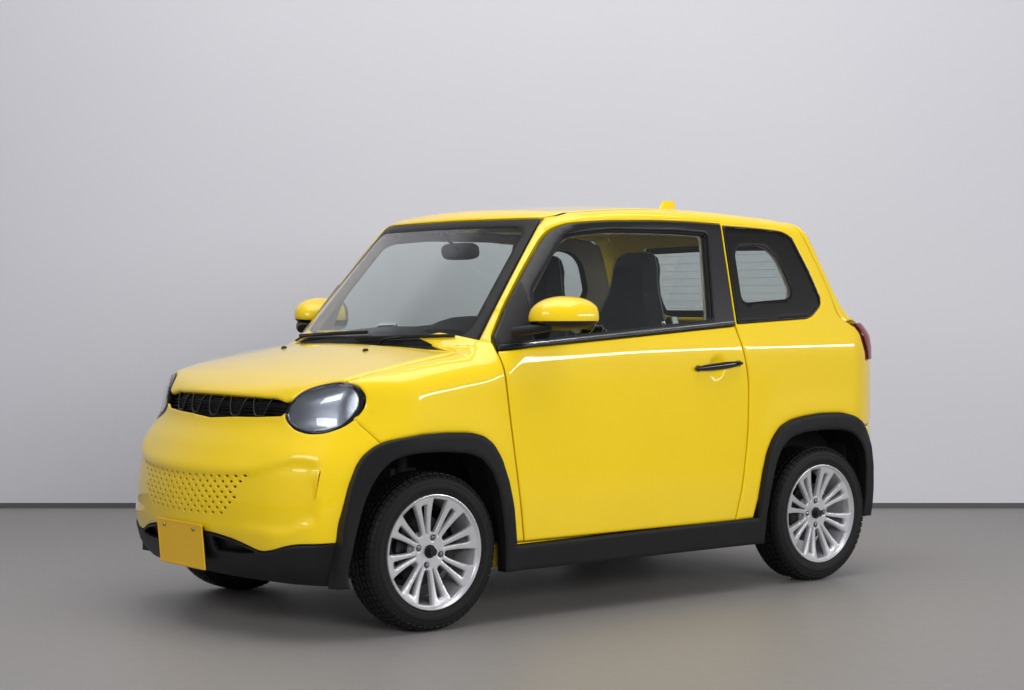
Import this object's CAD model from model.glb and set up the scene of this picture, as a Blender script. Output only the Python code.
# Electric kei car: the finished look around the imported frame.
# Lengths in this script are millimetres; meshes are written in metres.
# X points forward, Y to the car's left, Z up; the origin is on the ground.
from math import atan2, cos, degrees, pi, radians, sin

import bmesh
import bpy
import numpy as np
from mathutils import Matrix, Vector
from mathutils.geometry import delaunay_2d_cdt


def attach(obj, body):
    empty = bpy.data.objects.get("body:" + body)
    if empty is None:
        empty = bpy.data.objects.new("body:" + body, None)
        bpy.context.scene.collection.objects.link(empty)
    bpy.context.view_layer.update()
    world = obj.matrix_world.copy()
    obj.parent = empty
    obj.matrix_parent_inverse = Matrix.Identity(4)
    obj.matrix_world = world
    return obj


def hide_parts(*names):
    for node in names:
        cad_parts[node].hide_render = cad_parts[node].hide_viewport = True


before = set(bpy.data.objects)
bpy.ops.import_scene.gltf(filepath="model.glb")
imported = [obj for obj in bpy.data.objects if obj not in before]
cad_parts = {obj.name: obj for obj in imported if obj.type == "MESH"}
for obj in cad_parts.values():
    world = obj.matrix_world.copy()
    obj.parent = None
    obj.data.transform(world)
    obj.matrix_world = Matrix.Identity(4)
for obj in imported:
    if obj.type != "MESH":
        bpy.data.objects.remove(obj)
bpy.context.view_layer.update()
scene = bpy.context.scene
mm = 0.001

# tables of the body's shape

car = {
    "frontAxleX": 925, "rearAxleX": -1080, "wheelY": 628, "axleZ": 281,
    "gap": 5,  # visible gap round doors, bonnet and tailgate
    "skin": 14,  # how deep a panel's folded edge reaches
}
# columns: x, height at the middle, crown width and height at the crown
bonnetRows = [
    (1560, 792, 560, 772), (1400, 840, 590, 816), (1225, 915, 612, 893),
    (925, 990, 622, 955), (700, 1032, 625, 985), (420, 1075, 625, 1010),
]
# columns: z, nose x at the middle, at the corner, half way round, where it ends
noseRows = [
    (170, 1430, 1375, 1290, 1130), (260, 1508, 1450, 1366, 1190), (430, 1545, 1482, 1397, 1210),
    (560, 1532, 1470, 1386, 1200), (640, 1488, 1434, 1352, 1170), (745, 1418, 1362, 1288, 1120),
    (840, 1404, 1345, 1268, 1100), (1120, 1380, 1320, 1240, 1080),
]
# columns: z, tail x at the middle, at the corner, half way round, where it ends
tailRows = [
    (170, -1430, -1408, -1365, -1220), (300, -1525, -1500, -1455, -1290),
    (560, -1536, -1517, -1482, -1325), (950, -1534, -1516, -1482, -1320),
    (1010, -1522, -1504, -1472, -1305), (1060, -1462, -1448, -1425, -1270),
    (1115, -1350, -1340, -1318, -1220), (1300, -1232, -1220, -1190, -1080),
    (1480, -1130, -1119, -1092, -980), (1620, -1050, -1039, -1012, -900),
]
# columns: x, roof height at the middle, at its edge
roofRows = [(830, 1500, 1470), (330, 1524, 1497), (-300, 1560, 1533), (-900, 1541, 1511),
            (-1180, 1508, 1480), (-1560, 1440, 1412)]
# columns: x, height of the shoulder line along the sides
shoulderRows = [(1300, 640), (1100, 710), (967, 776), (805, 849), (595, 908), (349, 940),
                (-105, 975), (-600, 985), (-1500, 985)]


def smoothCurve(xs, ys):
    # a smooth curve through the rows of a table, with no overshoot, straight on past its ends
    order = np.argsort(xs)
    xs, ys = np.array(xs, float)[order], np.array(ys, float)[order]
    gaps = np.diff(xs)
    slopes = np.diff(ys) / gaps
    tangents = np.zeros_like(ys)
    tangents[0], tangents[-1] = slopes[0], slopes[-1]
    before, after = slopes[:-1], slopes[1:]
    same = before * after > 0
    wide, narrow = 2 * gaps[1:] + gaps[:-1], gaps[1:] + 2 * gaps[:-1]
    tangents[1:-1][same] = (wide + narrow)[same] / (wide[same] / before[same] + narrow[same] / after[same])

    def at(x):
        x = np.asarray(x, float)
        inside = np.clip(x, xs[0], xs[-1])
        i = np.clip(np.searchsorted(xs, inside, side="right") - 1, 0, len(gaps) - 1)
        t = (inside - xs[i]) / gaps[i]
        value = (ys[i] * (1 + 2 * t) * (1 - t) ** 2 + ys[i + 1] * t * t * (3 - 2 * t) + gaps[i]
            * (tangents[i] * t * (1 - t) ** 2 + tangents[i + 1] * t * t * (t - 1)))
        return value + (x - inside) * np.where(x < xs[0], tangents[0], tangents[-1])

    return at


def columns(rows):
    # one smooth curve for each column after the first
    table = list(zip(*rows))
    return [smoothCurve(table[0], column) for column in table[1:]]


bonnetTop, crownY, crownZ = columns(bonnetRows)
noseAt = columns(noseRows)
tailAt = columns(tailRows)
roofTop, roofEdge = columns(roofRows)
(shoulderZ,) = columns(shoulderRows)


def ramp(t, width):
    # zero below 0 and t above it, with a soft corner of that width
    return width * np.logaddexp(0, t / width)


def step(low, high, t):
    t = np.clip((t - low) / (high - low), 0, 1)
    return t * t * (3 - 2 * t)


def softMax(a, b, radius):
    h = np.maximum(radius - np.abs(a - b), 0) / radius
    return np.maximum(a, b) + h * h * radius / 4


def softMin(a, b, radius):
    return -softMax(-a, -b, radius)


def archDistance(x, z, axleX):
    # how far a point on the side lies outside a wheel arch, roughly
    dx = np.abs(x - axleX - 20) / 345
    dz = np.maximum(z - 200, 0) / 505
    return ((dx ** 3.6 + dz ** 3.6) ** (1 / 3.6) - 1) * 400


def sideWidth(x, z):
    # half width of the body: full at mid height, tucked in at the sill, leaning in over the shoulder
    shoulder = shoulderZ(x)
    lean = 14 / (1030 - shoulder)
    width = 715 - lean * ramp(z - shoulder, 16) - (0.2 - lean) * ramp(z - 1030, 8)
    width = width - 0.05 * ramp(430 - z, 12) - 0.05 * ramp(300 - z, 20)
    for axleX in (car["frontAxleX"], car["rearAxleX"]):
        out = np.maximum(archDistance(x, z, axleX), 0)
        width = width + 5 * np.exp(-(out / 60) ** 2)
    return width


def planCurve(at, y, z):
    # x of the nose or the tail: a shallow arc, then a rounder corner
    y = np.abs(y)
    middle, corner, half, end = (curve(z) for curve in at)
    cornerY, halfY, endY = 450.0, 612.0, 715.0
    flat = middle - (middle - corner) * (y / cornerY) ** 2
    u = np.clip((y - cornerY) / (halfY - cornerY), 0, None)
    slope = -2 * (middle - corner) / cornerY
    bend = half - corner - slope * (halfY - cornerY)
    turned = corner + slope * (y - cornerY) + bend * u ** 2
    v = np.clip((y - halfY) / (endY - halfY), 0, None)
    late = slope + 2 * bend / (halfY - cornerY)
    last = half + late * (y - halfY) + (end - half - late * (endY - halfY)) * v ** 2
    return np.where(y < cornerY, flat, np.where(y < halfY, turned, last))


def noseDent(y, z):
    # the bumper's sunken panel: curved top edge, upright ends, sloping lower edge
    y = np.abs(y)
    upper = 566 + 46 * np.exp(-((y - 560) / 130) ** 2) - 18 * np.exp(-(y / 300) ** 2)
    lower = 392 - 10 * (y / 600) ** 2 + 40 * step(520, 640, y)
    inside = step(-16, 16, upper - z) * step(-26, 16, z - lower) * step(-6, 16, 628 - y)
    depth = 6 + 11 * step(300, 600, y)
    brow = 2.5 * np.exp(-((z - upper - 26) / 26) ** 2) * step(-60, 40, 660 - y)
    return depth * inside - brow


def screenX(y, z):
    share = (z - 1000) / 480
    middle = 812 - 460 * share
    y = np.abs(y)
    bow = 44 * (y / 400) ** 2 - 10 * share * (y / 400) ** 2
    late = np.maximum(y - 400 - 20 * (1 - share), 0)
    return middle - bow - late ** 2 * 0.0011


def bodyField(part):
    # zero on the body's surface, positive outside; part picks what meets at the windscreen
    def field(p):
        x, y, z = p[:, 0], np.abs(p[:, 1]), p[:, 2]
        side = y - sideWidth(x, z)
        if part != "cabin":
            top = z - bonnetTop(x) + (bonnetTop(x) - crownZ(x)) * (y / crownY(x)) ** 2
            nose = (x - planCurve(noseAt, y, z) + noseDent(y, z)) * 0.92
            front = softMax(top, nose, 60)
        if part != "front":
            rise = roofTop(x) - roofEdge(x)
            roof = z - roofTop(x) + rise * (y / 548) ** 2
            cabin = softMax(roof, (x - screenX(y, z)) * 0.7, 45)
        hull = front if part == "front" else cabin
        if part == "both":
            hull = softMin(front, cabin, 4 + 70 * step(540, 660, y))
        round_ = 62 + 50 * step(520, 720, x) if part != "cabin" else 62
        hull = softMax(side, hull, round_)
        if part != "front":
            tail = (planCurve(tailAt, y, z) - x) * 0.9
            hull = softMax(hull, tail, 42)
        return hull
    return field


fields = {part: bodyField(part) for part in ("front", "cabin", "both")}


def hit(field, start, way, reach):
    # where rays from inside first cross the surface
    low, high = np.zeros(len(start)), np.full(len(start), float(reach))
    for _ in range(26):
        middle = (low + high) / 2
        outside = field(start + way * middle[:, None]) > 0
        high, low = np.where(outside, middle, high), np.where(outside, low, middle)
    return start + way * ((low + high) / 2)[:, None]


def unit(rows):
    return rows / np.linalg.norm(rows, axis=1)[:, None]


def outward(field, p):
    # unit normals of the surface
    slope = np.stack([field(p + axis * 2.0) - field(p - axis * 2.0) for axis in np.eye(3)], 1)
    return unit(slope)


def fromSide(part):
    # (x, z) to the left side's surface
    def place(a, b):
        start = np.stack([a, np.full_like(a, 60.0), b], 1)
        return hit(fields[part], start, np.array([0.0, 1.0, 0.0]), 760)
    return place


def fromFront(part, startX=0.0, way=1.0):
    # (y, z) to the front or back surface
    def place(a, b):
        start = np.stack([np.full_like(a, startX), a, b], 1)
        return hit(fields[part], start, np.array([way, 0.0, 0.0]), 1700)
    return place


def fromBelow(part):
    # (x, y) to the top surface
    def place(a, b):
        start = np.stack([a, b, np.full_like(a, 620.0)], 1)
        return hit(fields[part], start, np.array([0.0, 0.0, 1.0]), 1100)
    return place


def around(part, centreX, way, radius):
    # (arc length round an upright axis, z) to the nose or the tail
    def place(a, b):
        angle = a / radius
        start = np.stack([np.full_like(a, centreX), np.zeros_like(a), b], 1)
        direction = np.stack([way * np.cos(angle), np.sin(angle), np.zeros_like(a)], 1)
        return hit(fields[part], start, direction, 1100)
    return place


def arched(part, centreX, centreZ, radius):
    # (arc length over a cross axis, y) to the bonnet, from its back edge down over the nose
    def place(a, b):
        angle = a / radius
        start = np.stack([np.full_like(a, centreX), b, np.full_like(a, centreZ)], 1)
        direction = np.stack([np.sin(angle), np.zeros_like(a), np.cos(angle)], 1)
        return hit(fields[part], start, direction, 900)
    return place


# outlines and meshes

def rounded(points, reach):
    # an outline with each corner cut by an arc; reach is how far along its sides an arc may start
    points = [np.array(p[:2], float) for p in points]
    reaches = reach if isinstance(reach, (list, tuple)) else [reach] * len(points)
    out = []
    for i, here in enumerate(points):
        before, after = points[i - 1], points[(i + 1) % len(points)]
        a, b = before - here, after - here
        t = min(reaches[i], 0.46 * np.linalg.norm(a), 0.46 * np.linalg.norm(b))
        if t < 0.5:
            out.append(here)
            continue
        a, b = here + a / np.linalg.norm(a) * t, here + b / np.linalg.norm(b) * t
        for k in range(7):
            s = k / 6
            out.append(a * (1 - s) ** 2 + here * 2 * s * (1 - s) + b * s * s)
    return np.array(out)


def resampled(points, spacing):
    # an outline with evenly spaced points that keeps its corners
    out = []
    for a, b in zip(points, np.roll(points, -1, axis=0)):
        count = max(1, int(round(np.linalg.norm(b - a) / spacing)))
        out += [a + (b - a) * k / count for k in range(count)]
    kept = [out[0]]
    for p in out[1:]:
        if np.linalg.norm(p - kept[-1]) > spacing * 0.3:
            kept.append(p)
    if np.linalg.norm(kept[-1] - kept[0]) < spacing * 0.3:
        kept.pop()
    return np.array(kept)


def area2(points):
    x, y = points[:, 0], points[:, 1]
    return np.sum(x * np.roll(y, -1) - y * np.roll(x, -1))


def inset(points, amount):
    # an outline moved inwards; a negative amount moves it outwards
    side = 1 if area2(points) > 0 else -1
    ahead, behind = unit(np.roll(points, -1, axis=0) - points), unit(points - np.roll(points, 1, axis=0))
    n1 = side * np.stack([-ahead[:, 1], ahead[:, 0]], 1)
    n2 = side * np.stack([-behind[:, 1], behind[:, 0]], 1)
    both = n1 + n2
    scale = amount * 2 / np.maximum(np.sum(both * both, axis=1), 0.8)
    return points + both * scale[:, None]


def inside(points, outline):
    # which points lie in a closed outline
    x, y = points[:, 0], points[:, 1]
    result = np.zeros(len(points), bool)
    for (ax, ay), (bx, by) in zip(outline, np.roll(outline, -1, axis=0)):
        if ay == by:
            continue
        crosses = (ay > y) != (by > y)
        result ^= crosses & (x < (bx - ax) * (y - ay) / (by - ay) + ax)
    return result


def nearest(points, targets):
    best = np.full(len(points), 1e9)
    for start in range(0, len(points), 4000):
        d = points[start:start + 4000, None, :] - targets[None, :, :]
        best[start:start + 4000] = np.sqrt((d * d).sum(2).min(1))
    return best


def sheetMesh(outline, holes, spacing, rims):
    # triangles over an outline with holes; rims are the inset rings that shape a rolled edge
    loops = [resampled(np.array(outline, float), spacing * 0.7)]
    loops += [resampled(np.array(h, float), min(spacing * 0.7, 6 + spacing * 0.2)) for h in holes]
    points, edges, depth = [], [], []
    for i, loop in enumerate(loops):
        first = len(points)
        points += list(loop)
        depth += [0.0] * len(loop)
        edges += [(first + k, first + (k + 1) % len(loop)) for k in range(len(loop))]
    border = np.concatenate(loops)
    for rim in rims:
        for i, loop in enumerate(loops):
            ring = inset(loop, rim if i == 0 else -rim)
            good = nearest(ring, border) > rim * 0.9
            points += list(ring[good])
            depth += [rim] * int(good.sum())
    low, high = loops[0].min(0), loops[0].max(0)
    gx, gy = np.meshgrid(np.arange(low[0], high[0], spacing), np.arange(low[1], high[1], spacing))
    grid = np.stack([gx.ravel(), gy.ravel()], 1)
    keep = inside(grid, loops[0])
    for loop in loops[1:]:
        keep &= ~inside(grid, loop)
    grid = grid[keep]
    far = nearest(grid, border)
    keep = far > max(spacing * 0.45, (rims[-1] if rims else 0) * 1.25)
    points += list(grid[keep])
    depth += list(far[keep])
    verts, _, faces, origin, _, _ = delaunay_2d_cdt([Vector(p) for p in points], edges, [], 0, 1e-4)
    flat = np.array([(v[0], v[1]) for v in verts])
    source = np.array([o[0] if o else 0 for o in origin])
    tris = np.array([f for f in faces if len(f) == 3])
    middle = flat[tris].mean(1)
    keep = inside(middle, loops[0])
    for loop in loops[1:]:
        keep &= ~inside(middle, loop)
    tris = tris[keep]
    a, b, c = (flat[tris[:, k]] for k in range(3))
    cross = (b[:, 0] - a[:, 0]) * (c[:, 1] - a[:, 1]) - (b[:, 1] - a[:, 1]) * (c[:, 0] - a[:, 0])
    tris = tris[np.abs(cross) > 1e-3]
    return flat, np.array(depth)[source], tris


def makeMesh(name, verts, faces, material=None, smooth=38, mirrored=False):
    # a mesh object at the origin, from points in millimetres
    verts = np.array(verts, float)
    if mirrored:
        verts = verts * [1, -1, 1]
        faces = [tuple(reversed(f)) for f in faces]
    mesh = bpy.data.meshes.new(name)
    mesh.from_pydata((verts * mm).tolist(), [], [tuple(int(i) for i in f) for f in faces])
    mesh.validate()
    mesh.shade_smooth()
    if smooth:
        mesh.set_sharp_from_angle(angle=radians(smooth))
    obj = bpy.data.objects.new(name, mesh)
    scene.collection.objects.link(obj)
    if material:
        mesh.materials.append(material)
    return obj


def thickened(verts, tris, normals, thickness):
    # a closed wall: the sheet, its copy further in, and the strips round its edges
    count = len(verts)
    back = verts - normals * np.asarray(thickness).reshape(-1, 1)
    both = np.concatenate([verts, back])
    directed = {}
    for a, b, c in tris:
        for e in ((a, b), (b, c), (c, a)):
            directed[e] = True
    rim = [(a, b) for a, b in directed if (b, a) not in directed]
    faces = [tuple(t) for t in tris] + [(c + count, b + count, a + count) for a, b, c in tris]
    faces += [(b, a, a + count, b + count) for a, b in rim]
    return both, faces


def panel(name, material, outline, place, field=None, holes=(), spacing=14, rims=(1.5, 4, 8), roll=4,
        lift=0.0, thickness=None, sides=(1,), shape=None, body="root", slot=None):
    # a wall laid on the body's surface over an outline; one object for each side of the car
    flat, depth, tris = sheetMesh(outline, holes, spacing, rims)
    verts = place(flat[:, 0], flat[:, 1])
    normals = outward(field, verts) if field else None
    a, b, c = (verts[tris[:, k]] for k in range(3))
    facing = np.cross(b - a, c - a)
    if normals is None:
        normals = np.zeros_like(verts)
        for k in range(3):
            np.add.at(normals, tris[:, k], facing)
        normals /= np.maximum(np.linalg.norm(normals, axis=1), 1e-9)[:, None]
    else:
        wrong = np.sum(facing * normals[tris[:, 0]], axis=1) < 0
        tris[wrong] = tris[wrong][:, ::-1]
    rise = np.full(len(verts), float(lift))
    if rims:
        rise -= roll * np.clip(1 - depth / rims[-1], 0, 1) ** 2
    if shape:
        rise += shape(flat[:, 0], flat[:, 1], depth)
    thick = car["skin"] if thickness is None else thickness
    moved = verts + normals * rise[:, None]
    closed, faces = thickened(moved, tris, normals, thick + rise - lift)
    return fixed(name, material, closed, faces, body, slot, 38, sides)


def fixed(name, material, verts, faces, body, slot=None, smooth=40, sides=(1,)):
    # one object for each side of the car, on its body; without a slot it takes its material's
    made = []
    for side in sides:
        hand = "left" if side > 0 else "right"
        label = name if len(sides) == 1 else name + "_" + hand
        obj = makeMesh(label, verts, faces, material, smooth, mirrored=side < 0)
        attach(obj, body.replace("SIDE", hand))
        slot or slots[material.name]
        made.append(obj)
    return made if len(sides) > 1 else made[0]


def replacesPair(made, node):
    for obj, hand in zip(made, ("left", "right")):
        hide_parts(node + hand)


def facedOut(verts, faces):
    # the faces of a closed shape, turned over if they look inwards
    middle = verts.mean(axis=0)
    volume = 0.0
    for face in faces:
        p = verts[list(face)] - middle
        for k in range(1, len(face) - 1):
            volume += np.dot(p[0], np.cross(p[k], p[k + 1]))
    return [tuple(face)[::-1] for face in faces] if volume < 0 else faces


def ringFaces(count, size, ends=True, loop=False):
    # quads between rings of as many points each, with flat ends or closed into a loop
    faces = []
    for i in range(count if loop else count - 1):
        low, high = i * size, (i + 1) % count * size
        for j in range(size):
            k = (j + 1) % size
            faces.append((low + j, low + k, high + k, high + j))
    if ends:
        faces.append(tuple(range(size))[::-1])
        faces.append(tuple(range((count - 1) * size, count * size)))
    return faces


def circle(count, start=0.0):
    return np.linspace(0, 2 * pi, count, endpoint=False) + start

# materials, each from what the real one is and how its surface was made

def colour(text):
    # a colour written as sRGB hex, as Blender's linear values
    parts = [int(text[i:i + 2], 16) / 255 for i in (1, 3, 5)]
    return [c / 12.92 if c <= 0.04045 else ((c + 0.055) / 1.055) ** 2.4 for c in parts] + [1.0]


def addNode(tree, kind, links=None, **settings):
    # a node with its settings, its input values and its links
    node = tree.nodes.new(kind)
    for key, value in settings.items():
        setattr(node, key, value)
    for key, value in (links or {}).items():
        if isinstance(value, bpy.types.NodeSocket):
            tree.links.new(value, node.inputs[key])
        else:
            node.inputs[key].default_value = value
    return node


def newMaterial(name, base, **sockets):
    # a material with its shader's plain values set, and its tree to add to
    made = bpy.data.materials.new(name)
    made.use_nodes = True
    tree = made.node_tree
    shader = tree.nodes["Principled BSDF"]
    shader.inputs["Base Color"].default_value = colour(base)
    for key, value in sockets.items():
        shader.inputs[key.replace("_", " ")].default_value = value
    made.diffuse_color = colour(base)
    return made, tree, shader


def grain(tree, shader, size, depth, kind="ShaderNodeTexNoise", base=None, other=None, blotch=60):
    # surface relief of a real grain size in mm, and a faint drift between two tones of the colour
    place = addNode(tree, "ShaderNodeTexCoord")
    spread = {"Vector": place.outputs["Object"], "Scale": 1000 / size}
    if kind == "ShaderNodeTexNoise":
        spread["Detail"] = 2.0
    texture = addNode(tree, kind, spread)
    height = texture.outputs["Distance" if kind == "ShaderNodeTexVoronoi" else "Fac"]
    bump = addNode(tree, "ShaderNodeBump", {"Height": height, "Strength": 1.0, "Distance": depth * mm})
    tree.links.new(bump.outputs["Normal"], shader.inputs["Normal"])
    if other:
        drift = addNode(tree, "ShaderNodeTexNoise", {"Vector": place.outputs["Object"],
            "Scale": 1000 / blotch, "Detail": 3.0})
        tones = addNode(tree, "ShaderNodeMix", {0: drift.outputs["Fac"], 6: colour(base), 7: colour(other)},
            data_type="RGBA")
        tree.links.new(tones.outputs[2], shader.inputs["Base Color"])
    return place


def mouldedBlack():
    # injection-moulded PP with a fine leather-like grain: dark charcoal, dull, with soft wide highlights
    made, tree, shader = newMaterial("moulded_polypropylene", "#131415", Roughness=0.5,
        Specular_IOR_Level=0.36)
    grain(tree, shader, 2.2, 0.10, kind="ShaderNodeTexVoronoi", base="#101112", other="#17181a", blotch=160)
    return made


def plainSurface(name, base, other, roughness, size=3.0, depth=0.02, blotch=60, **sockets):
    made, tree, shader = newMaterial(name, base, Roughness=roughness, **sockets)
    grain(tree, shader, size, depth, base=base, other=other, blotch=blotch)
    return made


def clearGlass(name, tint, roughness=0.0):
    # float glass: sees through with a faint green-grey tint, mirrors at a slant; lamps pass it unbent
    made, tree, shader = newMaterial(name, tint, Roughness=roughness, Transmission_Weight=1.0, IOR=1.5)
    path = addNode(tree, "ShaderNodeLightPath")
    clear = addNode(tree, "ShaderNodeBsdfTransparent", {"Color": colour(tint)})
    mixed = addNode(tree, "ShaderNodeMixShader", {0: path.outputs["Is Shadow Ray"],
        1: shader.outputs["BSDF"], 2: clear.outputs["BSDF"]})
    tree.links.new(mixed.outputs[0], tree.nodes["Material Output"].inputs["Surface"])
    return made


def wovenCloth(name, base, other, thread):
    # plain weave of textured yarn: threads over and under, dull with a soft sheen
    made, tree, shader = newMaterial(name, base, Roughness=0.85, Sheen_Weight=0.1, Sheen_Roughness=0.4)
    place = addNode(tree, "ShaderNodeTexCoord")
    waves = []
    for axis in ("Z", "DIAGONAL"):
        wave = addNode(tree, "ShaderNodeTexWave", {"Vector": place.outputs["Object"], "Scale": 314 / thread,
            "Distortion": 1.5, "Detail": 1.0}, bands_direction=axis)
        waves.append(wave.outputs["Fac"])
    crossed = addNode(tree, "ShaderNodeMath", {0: waves[0], 1: waves[1]}, operation="MULTIPLY")
    bump = addNode(tree, "ShaderNodeBump", {"Height": crossed.outputs[0], "Strength": 0.6,
        "Distance": 0.3 * mm})
    tones = addNode(tree, "ShaderNodeMix", {0: crossed.outputs[0], 6: colour(base), 7: colour(other)},
        data_type="RGBA")
    tree.links.new(tones.outputs[2], shader.inputs["Base Color"])
    tree.links.new(bump.outputs["Normal"], shader.inputs["Normal"])
    return made


paint = {"base": "#f3d000", "drift": "#efcb00"}
# sprayed two-coat enamel under clear lacquer: deep flat yellow, mirror-like on top, faint orange peel
yellow = plainSurface("yellow_enamel", paint["base"], paint["drift"], 0.42, size=9, depth=0.012, blotch=240,
    Coat_Weight=1.0, Coat_Roughness=0.03, Coat_IOR=1.5, Specular_IOR_Level=0.35)
trimBlack = mouldedBlack()
glossBlack = plainSurface("polished_abs", "#08080a", "#0c0c0e", 0.08, Coat_Weight=0.6, Coat_Roughness=0.04)
satinBlack = plainSurface("satin_anodised_black", "#101113", "#141518", 0.36, size=0.8, depth=0.01)
rubber = plainSurface("epdm_rubber", "#0d0d0e", "#141415", 0.62, size=1.5, depth=0.04)
brightStrip = plainSurface("brushed_aluminium", "#b4b6ba", "#a6a8ad", 0.22, size=0.5, depth=0.01,
    Metallic=1.0)
chrome = plainSurface("vapour_chromed_reflector", "#8f939b", "#7c8088", 0.3, size=6, depth=0.02,
    Metallic=1.0)
screenGlass = clearGlass("laminated_glass", "#f2f7f5")
sideGlass = clearGlass("tempered_glass", "#dfe6e4")
fritBlack = plainSurface("fired_ceramic_frit", "#0a0a0b", "#0e0e0f", 0.4, size=2, depth=0.0,
    Specular_IOR_Level=0.25)
lensClear = clearGlass("clear_polycarbonate", "#f6f8fa")
lensRed = clearGlass("red_acrylic", "#d01020", 0.05)
alloySilver = plainSurface("silver_lacquered_alloy", "#dcdde0", "#d2d3d7", 0.3, size=1.0, depth=0.01,
    Metallic=0.6, Coat_Weight=0.7, Coat_Roughness=0.05)
tyreRubber = plainSurface("carbon_black_tyre_rubber", "#0c0c0d", "#121213", 0.6, size=1.8, depth=0.06)
castIron = plainSurface("cast_iron", "#2b2a29", "#3a3531", 0.6, size=1.5, depth=0.1, Metallic=0.6)
discSteel = plainSurface("turned_steel", "#5c5d60", "#4c4d50", 0.34, size=0.9, depth=0.02, Metallic=1.0)
motorAlloy = plainSurface("sand_cast_aluminium", "#8d8f92", "#7b7d80", 0.5, size=1.2, depth=0.08,
    Metallic=0.9)
chassisBlack = plainSurface("electrocoat_primer", "#121314", "#1a1b1c", 0.45, size=4, depth=0.05)
cabinBeige = plainSurface("beige_moulded_trim", "#8d8071", "#857868", 0.75, size=1.6, depth=0.06)
headlinerCloth = wovenCloth("knitted_headliner", "#a59b8e", "#8f8578", 1.6)
cabinBlack = plainSurface("soft_touch_moulding", "#0f1113", "#151719", 0.6, size=1.4, depth=0.08)
seatCloth = wovenCloth("black_seat_weave", "#0c0d0f", "#141519", 2.4)
seatVinyl = plainSurface("stitched_leatherette", "#0c0d0f", "#131417", 0.46, size=1.8, depth=0.08)
threadGrey = plainSurface("spun_polyester_thread", "#54565a", "#6a6c70", 0.7)
carpet = plainSurface("needle_punched_carpet", "#141414", "#1e1d1c", 0.95, size=2.5, depth=0.5)
plateYellow = plainSurface("embossed_plate_aluminium", "#f4c000", "#f0bb00", 0.4, size=30, depth=0.02,
    Coat_Weight=0.4)
zincBolt = plainSurface("zinc_plated_steel", "#9ea0a3", "#86888b", 0.3, Metallic=1.0)
mirrorGlass = plainSurface("silvered_glass", "#dfe3e6", "#d9dde0", 0.02, size=50, depth=0.0, Metallic=1.0)
displayGlass = plainSurface("display_glass", "#05070a", "#070a0e", 0.06, size=50, depth=0.0,
    Coat_Weight=1.0)

# the slot that each material belongs to
slots = {material.name: slot for slot, materials in {
    "body_yellow": [yellow],
    "black_trim": [rubber, trimBlack, satinBlack],
    "plate_yellow": [plateYellow],
    "lamp_clear": [lensClear],
    "gloss_black": [glossBlack, motorAlloy, fritBlack, mirrorGlass, displayGlass],
    "alloy": [chrome, brightStrip, alloySilver, discSteel, zincBolt],
    "lamp_red": [lensRed],
    "glass": [screenGlass, sideGlass],
    "interior_black": [cabinBeige, cabinBlack, seatVinyl, headlinerCloth, carpet],
    "seat_cloth": [seatCloth, threadGrey],
    "underbody": [chassisBlack],
    "chassis": [castIron],
    "tyre": [tyreRubber],
}.items() for material in materials}
print("materials made")

# the body's outlines, in the view that each is drawn in

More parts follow.
